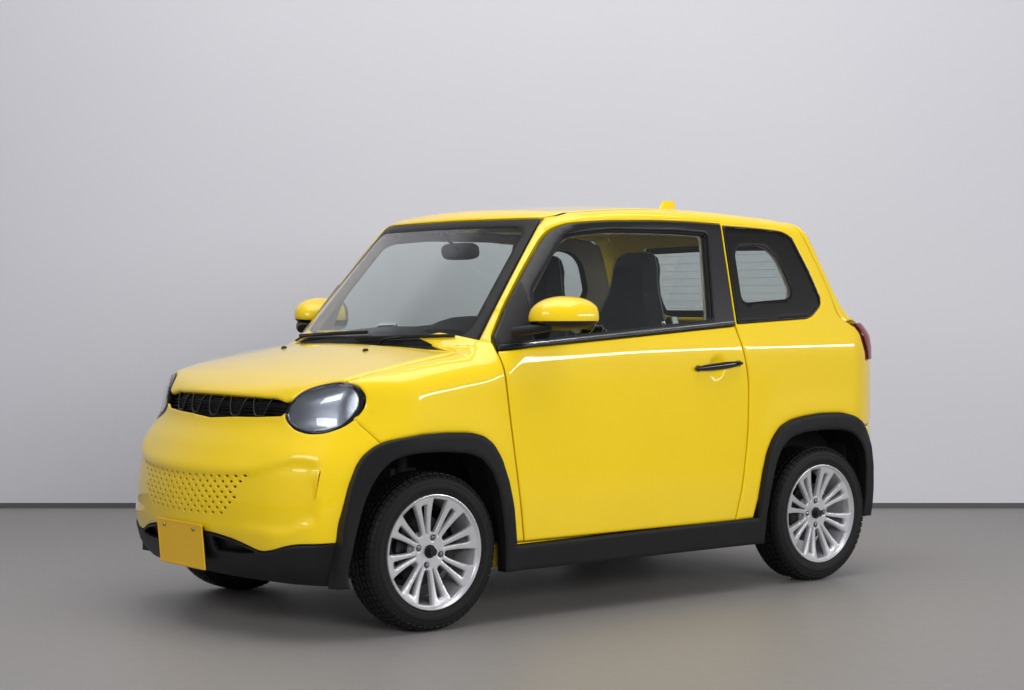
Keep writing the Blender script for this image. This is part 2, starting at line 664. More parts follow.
# x and z on the side, from the bottom up or from the front back; x and y for bonnetSide and bonnetBack;
# y and z for what is seen from the front or the back; an arch's x is measured from its axle
outlines = {
    "doorFront": [(516, 289), (585, 735), (622, 984)],
    "doorTop": [(614, 1034), (538, 1140), (432, 1272), (324, 1400), (283, 1438), (226, 1460), (44, 1474),
        (-239, 1482), (-434, 1481), (-581, 1477)],
    "doorBack": [(-583, 1066), (-640, 860), (-636, 640), (-606, 430), (-572, 289)],
    "window": [(470, 1016), (440, 1206), (262, 1412), (215, 1423), (12, 1443), (-329, 1446), (-496, 1440),
        (-462, 1088)],
    "quarter": [(-595, 1074), (-590, 1474), (-792, 1469), (-934, 1460), (-985, 1440), (-1064, 1292),
        (-1112, 1180), (-1110, 1150), (-1050, 1106), (-1010, 1094)],
    "quarterClear": [(-642, 1160), (-640, 1360), (-660, 1385), (-770, 1399), (-842, 1384), (-893, 1338),
        (-942, 1222), (-931, 1190), (-905, 1177)],
    "tailSide": [(-1005, 1486), (-1042, 1481), (-1067, 1435), (-1102, 1367), (-1141, 1294), (-1178, 1210),
        (-1209, 1112), (-1252, 1082)],
    "bonnetSide": [(752, 598), (800, 612), (900, 618), (1015, 620), (1099, 617), (1173, 607), (1222, 600)],
    "bonnetBack": [(850, 0), (838, 250), (795, 480), (752, 596)],
    "lamp": [(420, 765), (438, 812), (467, 852), (515, 873), (586, 887), (640, 877), (662, 842), (663, 797),
        (652, 758), (634, 731), (600, 714), (550, 709), (488, 721), (440, 744)],
    "grilleLow": [(0, 742), (150, 751), (283, 755), (402, 762)],
    "grilleTop": [(406, 812), (350, 825), (150, 829), (0, 830)],
    "valance": [(0, 352), (210, 350), (330, 330), (428, 299), (480, 308), (560, 334), (640, 338)],
    "rearWindow": [(0, 1100), (500, 1100), (515, 1130), (465, 1400), (440, 1425), (0, 1432)],
    "archOuter": [(406, 184), (404, 255), (387, 340), (383, 401), (368, 457), (347, 536), (320, 600),
        (293, 635), (250, 666), (207, 681), (150, 690), (60, 700), (-40, 702), (-140, 698), (-200, 683),
        (-242, 655), (-281, 600), (-315, 514), (-338, 422), (-356, 300), (-358, 277)],
    "archInner": [(358, 184), (359, 240), (340, 334), (320, 414), (300, 478), (274, 534), (239, 581),
        (198, 614), (150, 629), (89, 636), (-19, 635), (-130, 625), (-190, 603), (-235, 556), (-266, 487),
        (-286, 396), (-301, 304), (-311, 184)],
    "archOuterRear": [(393, 292), (383, 386), (366, 470), (341, 553), (310, 608), (264, 656), (202, 682),
        (129, 694), (23, 703), (-100, 701), (-180, 684), (-240, 656), (-290, 606), (-322, 550), (-335, 472),
        (-336, 372), (-326, 250)],
    "archInnerRear": [(352, 184), (348, 302), (329, 411), (300, 509), (264, 571), (212, 611), (129, 629),
        (1, 634), (-100, 630), (-160, 616), (-214, 580), (-256, 530), (-277, 452), (-280, 340),
        (-272, 250)],
}


def array(points):
    return np.array(points, float)


def onSide(points, part="cabin"):
    # the places on the left side's surface of a list of (x, z)
    p = array(points)
    return fromSide(part)(p[:, 0], p[:, 1])


def onFront(points, part="front", way=1.0):
    p = array(points)
    return fromFront(part, 0.0, way)(p[:, 0], p[:, 1])


def onTop(points, part="front"):
    p = array(points)
    return fromBelow(part)(p[:, 0], p[:, 1])


bonnetArc = {"centreX": 900.0, "centreZ": 560.0, "radius": 600.0}
tailArc = {"centreX": -900.0, "centreZ": 900.0, "radius": 500.0}
noseRound = {"part": "front", "centreX": 1000.0, "way": 1.0, "radius": 450.0}
tailRound = {"part": "cabin", "centreX": -1000.0, "way": -1.0, "radius": 450.0}


def toArc(points, arc):
    # points of the surface, in the plan of an arched panel
    return np.stack([np.arctan2(points[:, 0] - arc["centreX"], points[:, 2] - arc["centreZ"])
        * arc["radius"], points[:, 1]], 1)


def toRound(points, ring):
    # points of the surface, in the plan of a panel that wraps round a corner
    ahead = ring["way"] * (points[:, 0] - ring["centreX"])
    return np.stack([np.arctan2(points[:, 1], ahead) * ring["radius"], points[:, 2]], 1)


def mirroredOutline(half):
    # a left half, from the middle to the middle, closed with its mirror image; the second column flips
    other = half[::-1] * [1, -1]
    return np.concatenate([half, other[1:-1]])


def mirroredRound(half):
    other = half[::-1] * [-1, 1]
    return np.concatenate([half, other[1:-1]])


def moved(points, dx=0.0, dz=0.0):
    return [(x + dx, z + dz) for x, z in points]


def lineUp(points, spacing=20):
    # an open line with points close enough to lie on a curved surface
    out = [array(points[0])]
    for a, b in zip(points, points[1:]):
        a, b = array(a), array(b)
        count = max(1, int(np.linalg.norm(b - a) / spacing))
        out += [a + (b - a) * k / count for k in range(1, count + 1)]
    return np.array(out)


def softLine(points, reach):
    # an open line with its inner corners rounded
    return rounded(points, [0] + [reach] * (len(points) - 2) + [0])


def archLine(name, axleX):
    return softOpen(moved(outlines[name], dx=axleX), [18] * len(outlines[name]))


def softOpen(points, reaches):
    points = [array(p) for p in points]
    out = [points[0]]
    for before, here, after, reach in zip(points, points[1:], points[2:], reaches[1:]):
        a, b = before - here, after - here
        t = min(reach, 0.48 * np.linalg.norm(a), 0.48 * np.linalg.norm(b))
        a, b = here + a / np.linalg.norm(a) * t, here + b / np.linalg.norm(b) * t
        out += [a * (1 - s) ** 2 + here * 2 * s * (1 - s) + b * s * s for s in np.linspace(0, 1, 5)]
    return np.array(out + [points[-1]])


sideField, frontField, wholeField = fields["cabin"], fields["front"], fields["both"]
placeSide, placeWing = fromSide("cabin"), fromSide("both")


def sidePanel(name, material, outline, **settings):
    # a panel on each side of the car
    return panel(name, material, outline, placeSide, sideField, sides=both, **settings)


egg = rounded(outlines["lamp"], 26)
frontArchOut, frontArchIn = archLine("archOuter", car["frontAxleX"]), archLine("archInner",
    car["frontAxleX"])
rearArchOut = archLine("archOuterRear", car["rearAxleX"])
rearArchIn = archLine("archInnerRear", car["rearAxleX"])
both = (1, -1)


# yellow panels

def buildBonnet():
    gap = car["gap"] / 2
    back = onTop(outlines["bonnetBack"])
    side = onTop(lineUp([(x, y - gap) for x, y in outlines["bonnetSide"]], 40), "front")
    lampTop = [p for p in inset(egg, -5) if p[1] > 818 and p[0] < 603]
    lampTop = sorted(lampTop, key=lambda p: -p[0])
    front = lineUp(moved(outlines["grilleTop"], dz=1), 50)
    half = np.concatenate([toArc(back, bonnetArc), toArc(side, bonnetArc), toArc(onFront(lampTop),
        bonnetArc), toArc(onFront(front), bonnetArc)])
    outline = mirroredOutline(half)
    piece = panel("bonnet_skin", yellow, outline, arched("front", **bonnetArc), frontField, spacing=15,
        rims=(1.5, 5, 10), roll=6, thickness=16, body="bonnet")
    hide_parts("bonnet")


def buildWings():
    gap = car["gap"] / 2
    door = moved(outlines["doorFront"], dx=car["gap"] + 0.5)
    top = [(627, 1016), (710, 1052), (750, 1034)]
    side = onTop(lineUp([(x, y + gap) for x, y in outlines["bonnetSide"]], 40), "both")[:, [0, 2]]
    lampEdge = onFront(inset(egg, -4))
    lampEdge = lampEdge[(lampEdge[:, 1] > 608) & (lampEdge[:, 2] > 759)]
    lampEdge = lampEdge[np.argsort(-np.arctan2(lampEdge[:, 2] - 800, lampEdge[:, 1] - 560))][:, [0, 2]]
    arch = frontArchOut[(frontArchOut[:, 0] < 1143) & (frontArchOut[:, 1] > 284)]
    line = np.concatenate([door, top, side, lampEdge, [(1229, 755), (1211, 737), (1194, 719), (1172, 697),
        (1151, 675)], arch])
    made = panel("wing_skin", yellow, line, placeWing, wholeField, spacing=15, rims=(1.5, 4.5, 9), roll=5,
        thickness=14, sides=both)
    replacesPair(made, "front_wing_")


perforation = {"rows": 8, "topZ": 553, "lowZ": 416, "topHalf": 356, "lowHalf": 282, "across": 17,
    "width": 17, "height": 8.5}


def perforationHoles():
    holes = []
    rows = perforation["rows"]
    for row in range(rows):
        share = row / (rows - 1)
        half = perforation["topHalf"] + (perforation["lowHalf"] - perforation["topHalf"]) * share
        pitch = 2 * perforation["topHalf"] / (perforation["across"] - 1)
        count = int(2 * half / pitch) + 1
        if (count + row) % 2 == 0:
            count -= 1
        for k in range(count):
            y = (k - (count - 1) / 2) * pitch
            z = perforation["topZ"] + (perforation["lowZ"] - perforation["topZ"]) * share
            z += 11 * (abs(y) / 325) ** 2 * (1 - share) - 9 * (1 - share) + 5 * (abs(y) / 220) ** 2 * share
            centre = toRound(onFront([(y, z)]), noseRound)[0]
            w, h = perforation["width"] / 2 * 0.83, perforation["height"] / 2
            holes.append([(centre[0] + w * cos(t), centre[1] + h * sin(t)) for t in circle(8)])
    return holes


def buildBumper():
    top = onFront(lineUp(outlines["grilleLow"], 40))
    lampLow = inset(egg, -4)
    lampLow = lampLow[(lampLow[:, 1] < 800)]
    lampLow = lampLow[np.argsort(np.arctan2(lampLow[:, 1] - 830, lampLow[:, 0] - 560))]
    lampLow = onFront(lampLow[lampLow[:, 0] > 404])
    lampLow = lampLow[lampLow[:, 2] < 778]
    seam = onSide([(1234, 762), (1213.5, 736), (1196.5, 718), (1175, 696), (1154, 674)], "front")
    arch = frontArchOut[(frontArchOut[:, 0] > 1155) & (frontArchOut[:, 1] > 338)][::-1]
    arch = onSide(arch, "front")
    low = onFront(softLine(outlines["valance"][::-1], 60))
    half = np.concatenate([toRound(p, noseRound) for p in (top, lampLow, seam, arch, low)])
    slit = [(624, 488), (630, 498), (634, 584), (630, 590), (625, 520)]
    slits = [toRound(onFront([(s * y, z) for y, z in slit]), noseRound) for s in both]
    piece = panel("bumper_skin", yellow, mirroredRound(half), around(**noseRound), frontField,
        holes=perforationHoles() + slits, spacing=13, rims=(1.0, 2.4), roll=1.6, thickness=10)
    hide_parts("front_bumper")


def buildBodySides():
    pillar = [(629, 1014), (712, 1050), (752, 1032)]
    screen = onFront(lineUp([(610, 1006), (515, 1486)], 30), "cabin")
    roof = onTop([(x, 545) for x in range(240, -1000, -60)] + [(-1001, 545)], "cabin")
    tail = softLine(moved(outlines["tailSide"], dx=car["gap"]), 60)
    lamp = [(-1258, 1078), (-1304, 1062), (-1330, 1036), (-1345, 996), (-1369, 949), (-1374, 915)]
    corner = onFront([(574, 912), (572, 850), (571, 780), (570, 710), (569, 640)], "cabin", -1)[:, [0, 2]]
    arch = rearArchOut[rearArchOut[:, 1] > 292][::-1]
    arch = arch[(arch[:, 1] > 640) | (arch[:, 0] > -1080)]
    door = [(x - car["gap"] - 0.5, z) for x, z in outlines["doorBack"][::-1]]
    roofLine = [(x, z + car["gap"]) for x, z in outlines["doorTop"][::-1]]
    doorTop = [(x + 3, z + 3) if x > 250 and z < 1450 else (x, z) for x, z in roofLine]
    line = np.concatenate([pillar, screen[:, [0, 2]], roof[:, [0, 2]], tail, lamp, corner,
        [(-1430, 640), (-1362, 640)], arch, [(-672, 292), (-578, 289)], softOpen(door, [60] * 5),
        softOpen(doorTop, [40] * 10)])
    hole = rounded(outlines["quarter"], [8, 8, 60, 60, 30, 60, 30, 30, 30, 60])
    made = sidePanel("side_skin", yellow, line, holes=[hole], spacing=16, thickness=30)
    replacesPair(made, "body_side_")


def buildRoof():
    front = onFront(lineUp([(0, 1488), (505, 1487)], 40), "cabin")[:, :2]
    side = np.array([(x, 540.0) for x in range(230, -1000, -40)] + [(-1001, 540), (-1002, 0)])
    half = np.concatenate([front, side])
    piece = panel("roof_skin", yellow, mirroredOutline(half), fromBelow("cabin"), sideField, spacing=22,
        roll=3.5, thickness=12)
    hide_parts("roof_panel")
    ditch = panel("roof_ditch", rubber, [(240, 538), (240, 547), (-1000, 547), (-1000, 538)],
        fromBelow("cabin"), sideField, spacing=24, rims=(), lift=-3.5, thickness=8)
    mirrorPiece(ditch, "roof_ditch_right", "root")


def mirrorPiece(obj, name, body):
    # the same piece on the other side of the car
    mesh = obj.data.copy()
    mesh.transform(Matrix.Diagonal((1, -1, 1, 1)))
    mesh.flip_normals()
    other = bpy.data.objects.new(name, mesh)
    scene.collection.objects.link(other)
    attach(other, body)
    return other


def buildTailgate():
    top = onTop([(-1007, y) for y in range(0, 541, 60)], "cabin")
    side = onSide(softLine(outlines["tailSide"], 60))
    low = onFront([(640, 1080), (590, 1072), (568, 1058), (566, 900), (562, 645), (0, 640)], "cabin", -1)
    half = np.concatenate([toArc(p, tailArc) for p in (top, side, low)])
    window = onFront(lineUp(outlines["rearWindow"], 60), "cabin", -1)
    hole = rounded(mirroredOutline(toArc(window, tailArc)), 40)
    piece = panel("tailgate_skin", yellow, mirroredOutline(half), arched("cabin", **tailArc), sideField,
        holes=[hole], spacing=16, thickness=24, body="tailgate")
    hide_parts("tailgate")


def buildRearBumper():
    top = onFront([(0, 634), (200, 634), (400, 634), (560, 634)], "cabin", -1)
    corner = onSide([(-1440, 634), (-1400, 634), (-1365, 634)])
    arch = rearArchOut[(rearArchOut[:, 0] < -1300) & (rearArchOut[:, 1] < 632)]
    arch = onSide(arch)
    low = onFront([(600, 236), (500, 205), (0, 196)], "cabin", -1)
    half = np.concatenate([toRound(p, tailRound) for p in (top, corner, arch, low)])
    piece = panel("rear_bumper_skin", yellow, mirroredRound(half), around(**tailRound), sideField,
        spacing=16, thickness=12)
    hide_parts("rear_bumper")


def buildDoors():
    front, back = outlines["doorFront"], outlines["doorBack"]
    line = np.concatenate([softOpen(front[:-1] + [(620, 978)], [60] * 3), lineUp([(616, 984), (-578, 1065)],
        60), softOpen([(-582, 1060)] + back[1:], [80] * 5)])
    cup = {"x": -1384 + 925, "z": 906, "radius": 44}

    def handleCup(x, z, depth):
        away = np.hypot(x - cup["x"], z - cup["z"]) / cup["radius"]
        return -13 * (1 - step(0.55, 1.02, away))

    made = sidePanel("door_skin", yellow, line, spacing=15, thickness=36, body="door_SIDE", shape=handleCup)
    replacesPair(made, "door_")


buildBonnet()
buildWings()
buildBumper()
buildBodySides()
buildRoof()
buildTailgate()
buildRearBumper()
buildDoors()
print("yellow panels made")

# small builders: boxes, swept bars, turned and lofted shapes, and repeats

def loft(name, material, rings, body="root", slot=None, smooth=40, sides=(1,), ends=True):
    # a skin over a row of rings that have as many points each, with flat ends
    rings = array(rings)
    verts = rings.reshape(-1, 3)
    faces = facedOut(verts, ringFaces(*rings.shape[:2], ends))
    return fixed(name, material, verts, faces, body, slot, smooth, sides)


def ovalRing(centre, across, up, wide, high, count=16, square=2.0):
    # a ring of a rounded section: square 2 is an ellipse and more is nearer a rectangle
    t = circle(count, pi / count)
    c, s = np.cos(t), np.sin(t)
    u = np.sign(c) * np.abs(c) ** (2 / square) * wide
    v = np.sign(s) * np.abs(s) ** (2 / square) * high
    return array(centre) + u[:, None] * array(across) + v[:, None] * array(up)


def bar(name, material, path, wide, high, body="root", slot=None, up=(0, 0, 1), square=2.0, count=12,
        sides=(1,)):
    # a section swept along a path; the sizes may change along it
    path = array(path)
    wide = np.broadcast_to(wide, len(path))
    high = np.broadcast_to(high, len(path))
    along = unit(np.gradient(path, axis=0))
    rings = []
    for p, t, w, h in zip(path, along, wide, high):
        across = np.cross(t, up)
        across /= max(np.linalg.norm(across), 1e-6)
        rings.append(ovalRing(p, across, np.cross(across, t), w, h, count, square))
    return loft(name, material, rings, body, slot, sides=sides)


def box(name, material, low, high, body="root", slot=None, bevel=3.0, segments=2, sides=(1,), turn=None):
    # a block with rounded edges; turn is (axis, degrees) about its own middle
    low, high = array(low), array(high)
    mesh = bmesh.new()
    bmesh.ops.create_cube(mesh, size=1.0)
    for v in mesh.verts:
        v.co = Vector((low + high) / 2 + np.array(v.co) * (high - low))
    if bevel:
        bmesh.ops.bevel(mesh, geom=mesh.edges[:], offset=bevel, segments=segments, affect="EDGES",
            profile=0.5)
    if turn:
        middle = Matrix.Translation((low + high) / 2)
        matrix = middle @ Matrix.Rotation(radians(turn[1]), 4, turn[0]) @ middle.inverted()
        bmesh.ops.transform(mesh, matrix=matrix, verts=mesh.verts)
    verts = np.array([v.co[:] for v in mesh.verts])
    faces = [tuple(v.index for v in f.verts) for f in mesh.faces]
    mesh.free()
    return fixed(name, material, verts, faces, body, slot, 40, sides)


def lathe(name, material, profile, steps, smooth=40):
    # a closed profile of (y, radius) turned about the axle of each wheel
    verts = [(r * cos(a), y, r * sin(a)) for a in circle(steps) for y, r in profile]
    faces = ringFaces(steps, len(profile), ends=False, loop=True)
    return copies(name, material, verts, faces, wheelPlaces, smooth)


def copies(name, material, verts, faces, places, smooth=40):
    # a shape given to each place: (body, x, y, z, side, spin)
    verts = array(verts)
    faces = facedOut(verts, faces)
    made = []
    for body, x, y, z, side, spin in places:
        spot = spun(verts, spin) + array((x, abs(y), z))
        label = name + body.replace("wheel", "") if "wheel" in body else name
        obj = makeMesh(label, spot, faces, material, smooth, mirrored=side < 0)
        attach(obj, body)
        made.append(obj)
    return made


def repeater(label):
    # a node tree that puts a shape on each point of a mesh, turned by the point's own "turn" angles
    tree = bpy.data.node_groups.new(label, "GeometryNodeTree")
    for name, way, kind in (("Points", "INPUT", "Geometry"), ("Shape", "INPUT", "Object"),
            ("Material", "INPUT", "Material"), ("Result", "OUTPUT", "Geometry")):
        tree.interface.new_socket(name, in_out=way, socket_type="NodeSocket" + kind)
    start = addNode(tree, "NodeGroupInput")
    turn = addNode(tree, "GeometryNodeInputNamedAttribute", data_type="FLOAT_VECTOR")
    turn.inputs["Name"].default_value = "turn"
    dots = addNode(tree, "GeometryNodeMeshToPoints", {"Mesh": start.outputs["Points"]})
    shape = addNode(tree, "GeometryNodeObjectInfo", {"Object": start.outputs["Shape"]})
    placed = addNode(tree, "GeometryNodeInstanceOnPoints", {"Points": dots.outputs["Points"],
        "Instance": shape.outputs["Geometry"], "Rotation": turn.outputs["Attribute"]})
    real = addNode(tree, "GeometryNodeRealizeInstances", {"Geometry": placed.outputs["Instances"]})
    painted = addNode(tree, "GeometryNodeSetMaterial", {"Geometry": real.outputs["Geometry"],
        "Material": start.outputs["Material"]})
    end = addNode(tree, "NodeGroupOutput")
    tree.links.new(painted.outputs["Geometry"], end.inputs["Result"])
    return tree


def repeat(name, points, turns, shape, material, smooth=40):
    # one object with a copy of the shape at each point; the shape is a (verts, faces) pair in mm
    seed = makeMesh(name + "_seed", shape[0], shape[1], material, smooth)
    mesh = bpy.data.meshes.new(name + "_points")
    mesh.from_pydata([tuple(p * mm) for p in array(points)], [], [])
    mesh.attributes.new("turn", "FLOAT_VECTOR", "POINT").data.foreach_set("vector", array(turns).ravel())
    holder = bpy.data.objects.new(name + "_points", mesh)
    scene.collection.objects.link(holder)
    tree = repeater(name + "_nodes")
    modifier = holder.modifiers.new("repeat", "NODES")
    modifier.node_group = tree
    values = {"Shape": seed, "Material": material}
    for item in tree.interface.items_tree:
        if item.name in values:
            modifier[item.identifier] = values[item.name]
    done = bpy.data.meshes.new_from_object(holder.evaluated_get(bpy.context.evaluated_depsgraph_get()))
    done.name = name
    obj = bpy.data.objects.new(name, done)
    scene.collection.objects.link(obj)
    for spare in (holder, seed):
        bpy.data.objects.remove(spare)
    bpy.data.node_groups.remove(tree)
    return obj


# trims, lamps, grille and plates

def strip(line, width):
    # the outline of a band of one width along an open line; the line is one edge
    line = array(line)
    along = unit(np.gradient(line, axis=0))
    away = np.stack([-along[:, 1], along[:, 0]], 1)
    return np.concatenate([line, (line + away * width)[::-1]])


def trimPlace(x, z):
    # the body's side, a little further out; the trim keeps its own line where the body tucks in
    p = placeWing(x, z)
    p[:, 1] = softMax(p[:, 1] + 19, 708 - 0.13 * ramp(300 - z, 20), 12)
    return p


def upright(p):
    return np.abs(p[:, 1]) - 700


def buildLowerTrims():
    line = np.concatenate([frontArchOut, rearArchOut, rearArchIn[::-1], frontArchIn[::-1]])
    made = panel("lower_trim", trimBlack, line, trimPlace, upright, spacing=17, rims=(1.6, 4.5, 9), roll=5,
        thickness=52, sides=both)
    replacesPair(made, "lower_trim_")
    for label, line, depth in (("front", frontArchIn, 570), ("rear", rearArchIn, 440)):
        line = line[line[:, 1] > 200]
        rings = []
        for x, z in line:
            centre = array((car[label + "AxleX"], car["axleZ"]))
            way = array((x, z)) - centre
            way /= np.linalg.norm(way)
            near, far = array((x, z)) + way * 8, array((x, z)) + way * 11
            rings.append([(near[0], depth, near[1]), (near[0], 700, near[1]), (far[0], 700, far[1]),
                (far[0], depth, far[1])])
        loft("arch_liner_" + label, chassisBlack, rings, sides=both)


def buildValance():
    top = moved(outlines["valance"], dz=-car["gap"])
    line = onFront(softLine(top, 60))
    side = onSide([(1308, 340), (1306, 256), (1306, 186)], "front")
    low = onFront([(600, 186), (400, 188), (0, 192)])
    half = np.concatenate([toRound(p, noseRound) for p in (line, side, low)])
    holes = []
    for way in both:
        hole = rounded([(way * y, z) for y, z in [(190, 338), (330, 318), (408, 294), (330, 284),
            (190, 284)]], 14)
        holes.append(toRound(onFront(hole), noseRound))
    piece = panel("valance_skin", trimBlack, mirroredRound(half), around(**noseRound), frontField,
        holes=holes, spacing=14, lift=6, thickness=16)
    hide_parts("front_valance")
    back = toRound(onFront([(-440, 350), (-440, 240), (440, 240), (440, 350)]), noseRound)
    panel("valance_mesh", satinBlack, resampled(back, 30), around(**noseRound), frontField, spacing=20,
        rims=(), lift=-26, thickness=3)
    back = toRound(onFront([(-400, 600), (-400, 380), (400, 380), (400, 600)]), noseRound)
    panel("bumper_backing", satinBlack, resampled(back, 30), around(**noseRound), frontField, spacing=24,
        rims=(), lift=-22, thickness=3)


plate = {"width": 330, "height": 165, "lean": 5.3, "boltY": 105}


def buildPlate(name, x, z, way, lean):
    # a blank pressed plate with a raised rim and two bolts, on a black holder
    def place(y, h):
        return np.stack([way * (x + np.sin(radians(lean)) * (h - z)), y, h], -1)

    w, h = plate["width"] / 2, plate["height"] / 2
    outline = rounded([(-w, z - h), (w, z - h), (w, z + h), (-w, z + h)], 9)

    def emboss(y, height, depth):
        return 1.1 * step(3.0, 5.0, depth) * (1 - step(7.0, 9.0, depth)) - 0.8 * (1 - step(0, 2.0, depth))

    face = panel(name, plateYellow, outline, place, None, spacing=11, rims=(1, 2.5, 4, 5.5, 7, 8.5, 10),
        roll=0, thickness=2.0, shape=emboss, body="root", slot="plate_yellow")
    bolts = [place(s * plate["boltY"], z + h - 22) + array((way * 2.5, 0, 0)) for s in both]
    verts = [(x_, r * cos(a), r * sin(a)) for x_, r in ((-2, 7), (2.2, 7), (3.4, 5.6)) for a in circle(6)]
    turns = [(0, 0, 0 if way > 0 else pi)] * 2
    heads = repeat(name + "_bolts", bolts, turns, (verts, ringFaces(3, 6)), zincBolt)
    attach(heads, "root")
    box(name + "_holder", trimBlack, (way * x - 14 - (2 if way > 0 else -16), -w + 12, z - h + 10),
        (way * x - (2 if way > 0 else -16), w - 12, z + h - 10), bevel=3, turn=("Y", lean * way))
    return face


def buildPlates():
    front = buildPlate("front_plate", 1542, 293, 1, plate["lean"])
    buildPlate("rear_plate", 1547, 502, -1, 0)
    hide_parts("number_plates")


grille = {"ribHeights": (768, 781, 794, 807), "outlineAt": (-283, -144, 0, 144, 283)}


def along(line, lift, part="front"):
    p = onFront(line, part)
    return p + outward(frontField if part == "front" else sideField, p) * lift


def buildGrille():
    line = mirroredRound(array([(0, 738), (150, 746), (283, 750), (404, 756), (432, 790), (412, 820),
        (350, 832), (0, 838)]))
    piece = panel("grille_back", trimBlack, resampled(line, 20), fromFront("front"), frontField, spacing=18,
        rims=(), lift=-44, thickness=5)
    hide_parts("grille")
    for k, z in enumerate(grille["ribHeights"]):
        ys = np.linspace(-412, 412, 42)
        lean = 9 * np.abs(ys / 412) ** 2
        bar("grille_rib_%d" % (k + 1), satinBlack, along([(y, z - d) for y, d in zip(ys, lean)], -24), 7,
            1.8, count=8)
    for k, y in enumerate(grille["outlineAt"]):
        low = 760 - 6 * (1 - abs(y) / 283)
        path = softOpen([(y - 50, 826), (y - 24, low), (y + 24, low), (y + 50, 826)], [0, 14, 14, 0])
        path = resampledOpen(path, 7)
        bar("grille_outline_%d" % (k + 1), satinBlack, along(path, -9), 3.4, 3.4, slot="gloss_black",
            up=(1, 0, 0), count=10)
    cells, turns = [], []
    for y in grille["outlineAt"]:
        for row in range(5):
            z = 768 + row * 11
            half = 15 + (z - 760) * 0.33
            for k in range(-5, 6):
                dy = (k + 0.5 * (row % 2)) * 12.6
                if abs(dy) < half:
                    cells.append((y + dy, z))
    centres = along(cells, -18)
    ways = outward(frontField, onFront(cells))
    turns = [(0, -atan2(w[2], np.hypot(w[0], w[1])), atan2(w[1], w[0])) for w in ways]
    verts = [(x, r * cos(a), r * sin(a)) for x, r in ((-4, 7.1), (4, 7.1), (4, 5.7), (-4, 5.7))
        for a in circle(6, pi / 6)]
    faces = [face[::-1] for face in ringFaces(4, 6, ends=False, loop=True)]
    comb = repeat("grille_honeycomb", centres, turns, (verts, faces), satinBlack)
    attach(comb, "root")


def resampledOpen(line, spacing):
    line = array(line)
    reach = np.concatenate([[0], np.cumsum(np.linalg.norm(np.diff(line, axis=0), axis=1))])
    count = max(2, int(reach[-1] / spacing) + 1)
    s = np.linspace(0, reach[-1], count)
    return np.stack([np.interp(s, reach, line[:, k]) for k in range(line.shape[1])], 1)


def buildHeadlamps():
    place = fromFront("front")
    lens = panel("lamp_lens", lensClear, inset(egg, 5), place, frontField, spacing=14, rims=(1, 3),
        roll=1.5, lift=0.5, thickness=2.5, sides=both)
    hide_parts("headlamps")
    panel("lamp_rim", glossBlack, inset(egg, -1), place, frontField, holes=[inset(egg, 6)], spacing=12,
        rims=(1, 2.4), roll=1.6, lift=0.4, thickness=46, sides=both)

    def bowl(y, z, depth):
        return -38 * (1 - np.exp(-depth / 26))

    panel("lamp_bowl", chrome, inset(egg, 7), place, frontField, spacing=9, rims=(3, 7, 12, 18), roll=0,
        lift=-7, thickness=2.5, shape=bowl, sides=both)
    hood = rounded([(432, 790), (470, 838), (540, 868), (640, 874), (600, 838), (520, 806), (470, 776)], 16)
    panel("lamp_hood", motorAlloy, hood, place, frontField, spacing=9, rims=(1, 3), roll=2, lift=-14,
        thickness=5, sides=both)
    centre = onFront([(566, 784)])[0]
    way = outward(frontField, centre[None])[0]
    across = np.cross((0, 0, 1), way)
    across /= np.linalg.norm(across)
    up = np.cross(way, across)
    rings = [ovalRing(centre + way * d, across, up, r, r, 28) for d, r in ((-44, 30), (-22, 30), (-20, 27),
        (-23, 23), (-40, 21))]
    loft("lamp_barrel", chrome, rings, sides=both)
    rings = [ovalRing(centre + way * (-38 + 18 * sin(a)), across, up, 21 * cos(a), 21 * cos(a), 28)
        for a in np.linspace(0, 1.5, 9)]
    loft("lamp_bulb", lensClear, rings, sides=both)
    blade = resampledOpen(softOpen([(440, 772), (520, 800), (600, 836), (655, 850)], [0, 30, 30, 0]), 9)
    bar("lamp_blade", brightStrip, along(blade, -12), 1.4, 5, up=(0, 0, 1), sides=both, count=8)


def buildTailLamps():
    edge = onSide([(-1262, 1074), (-1306, 1058), (-1334, 1034), (-1349, 995), (-1374, 948), (-1379, 918)])
    inner = onFront([(576, 918), (575, 985), (575, 1050), (592, 1067), (640, 1075)], "cabin", -1)
    line = rounded(np.concatenate([toRound(p, tailRound) for p in (edge, inner)]), 9)
    place = around(**tailRound)
    lens = panel("tail_lens", lensRed, line, place, sideField, spacing=13, rims=(1, 3, 6), lift=6,
        thickness=14, sides=both)
    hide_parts("tail_lamps")
    panel("tail_bezel", glossBlack, inset(line, -4), place, sideField, spacing=15, rims=(1, 2.4), roll=1.6,
        lift=-8, thickness=10, sides=both)


buildLowerTrims()
buildValance()
buildPlates()
buildGrille()
buildHeadlamps()
buildTailLamps()
print("trims and lamps made")

# glass, window frames and the things on the doors

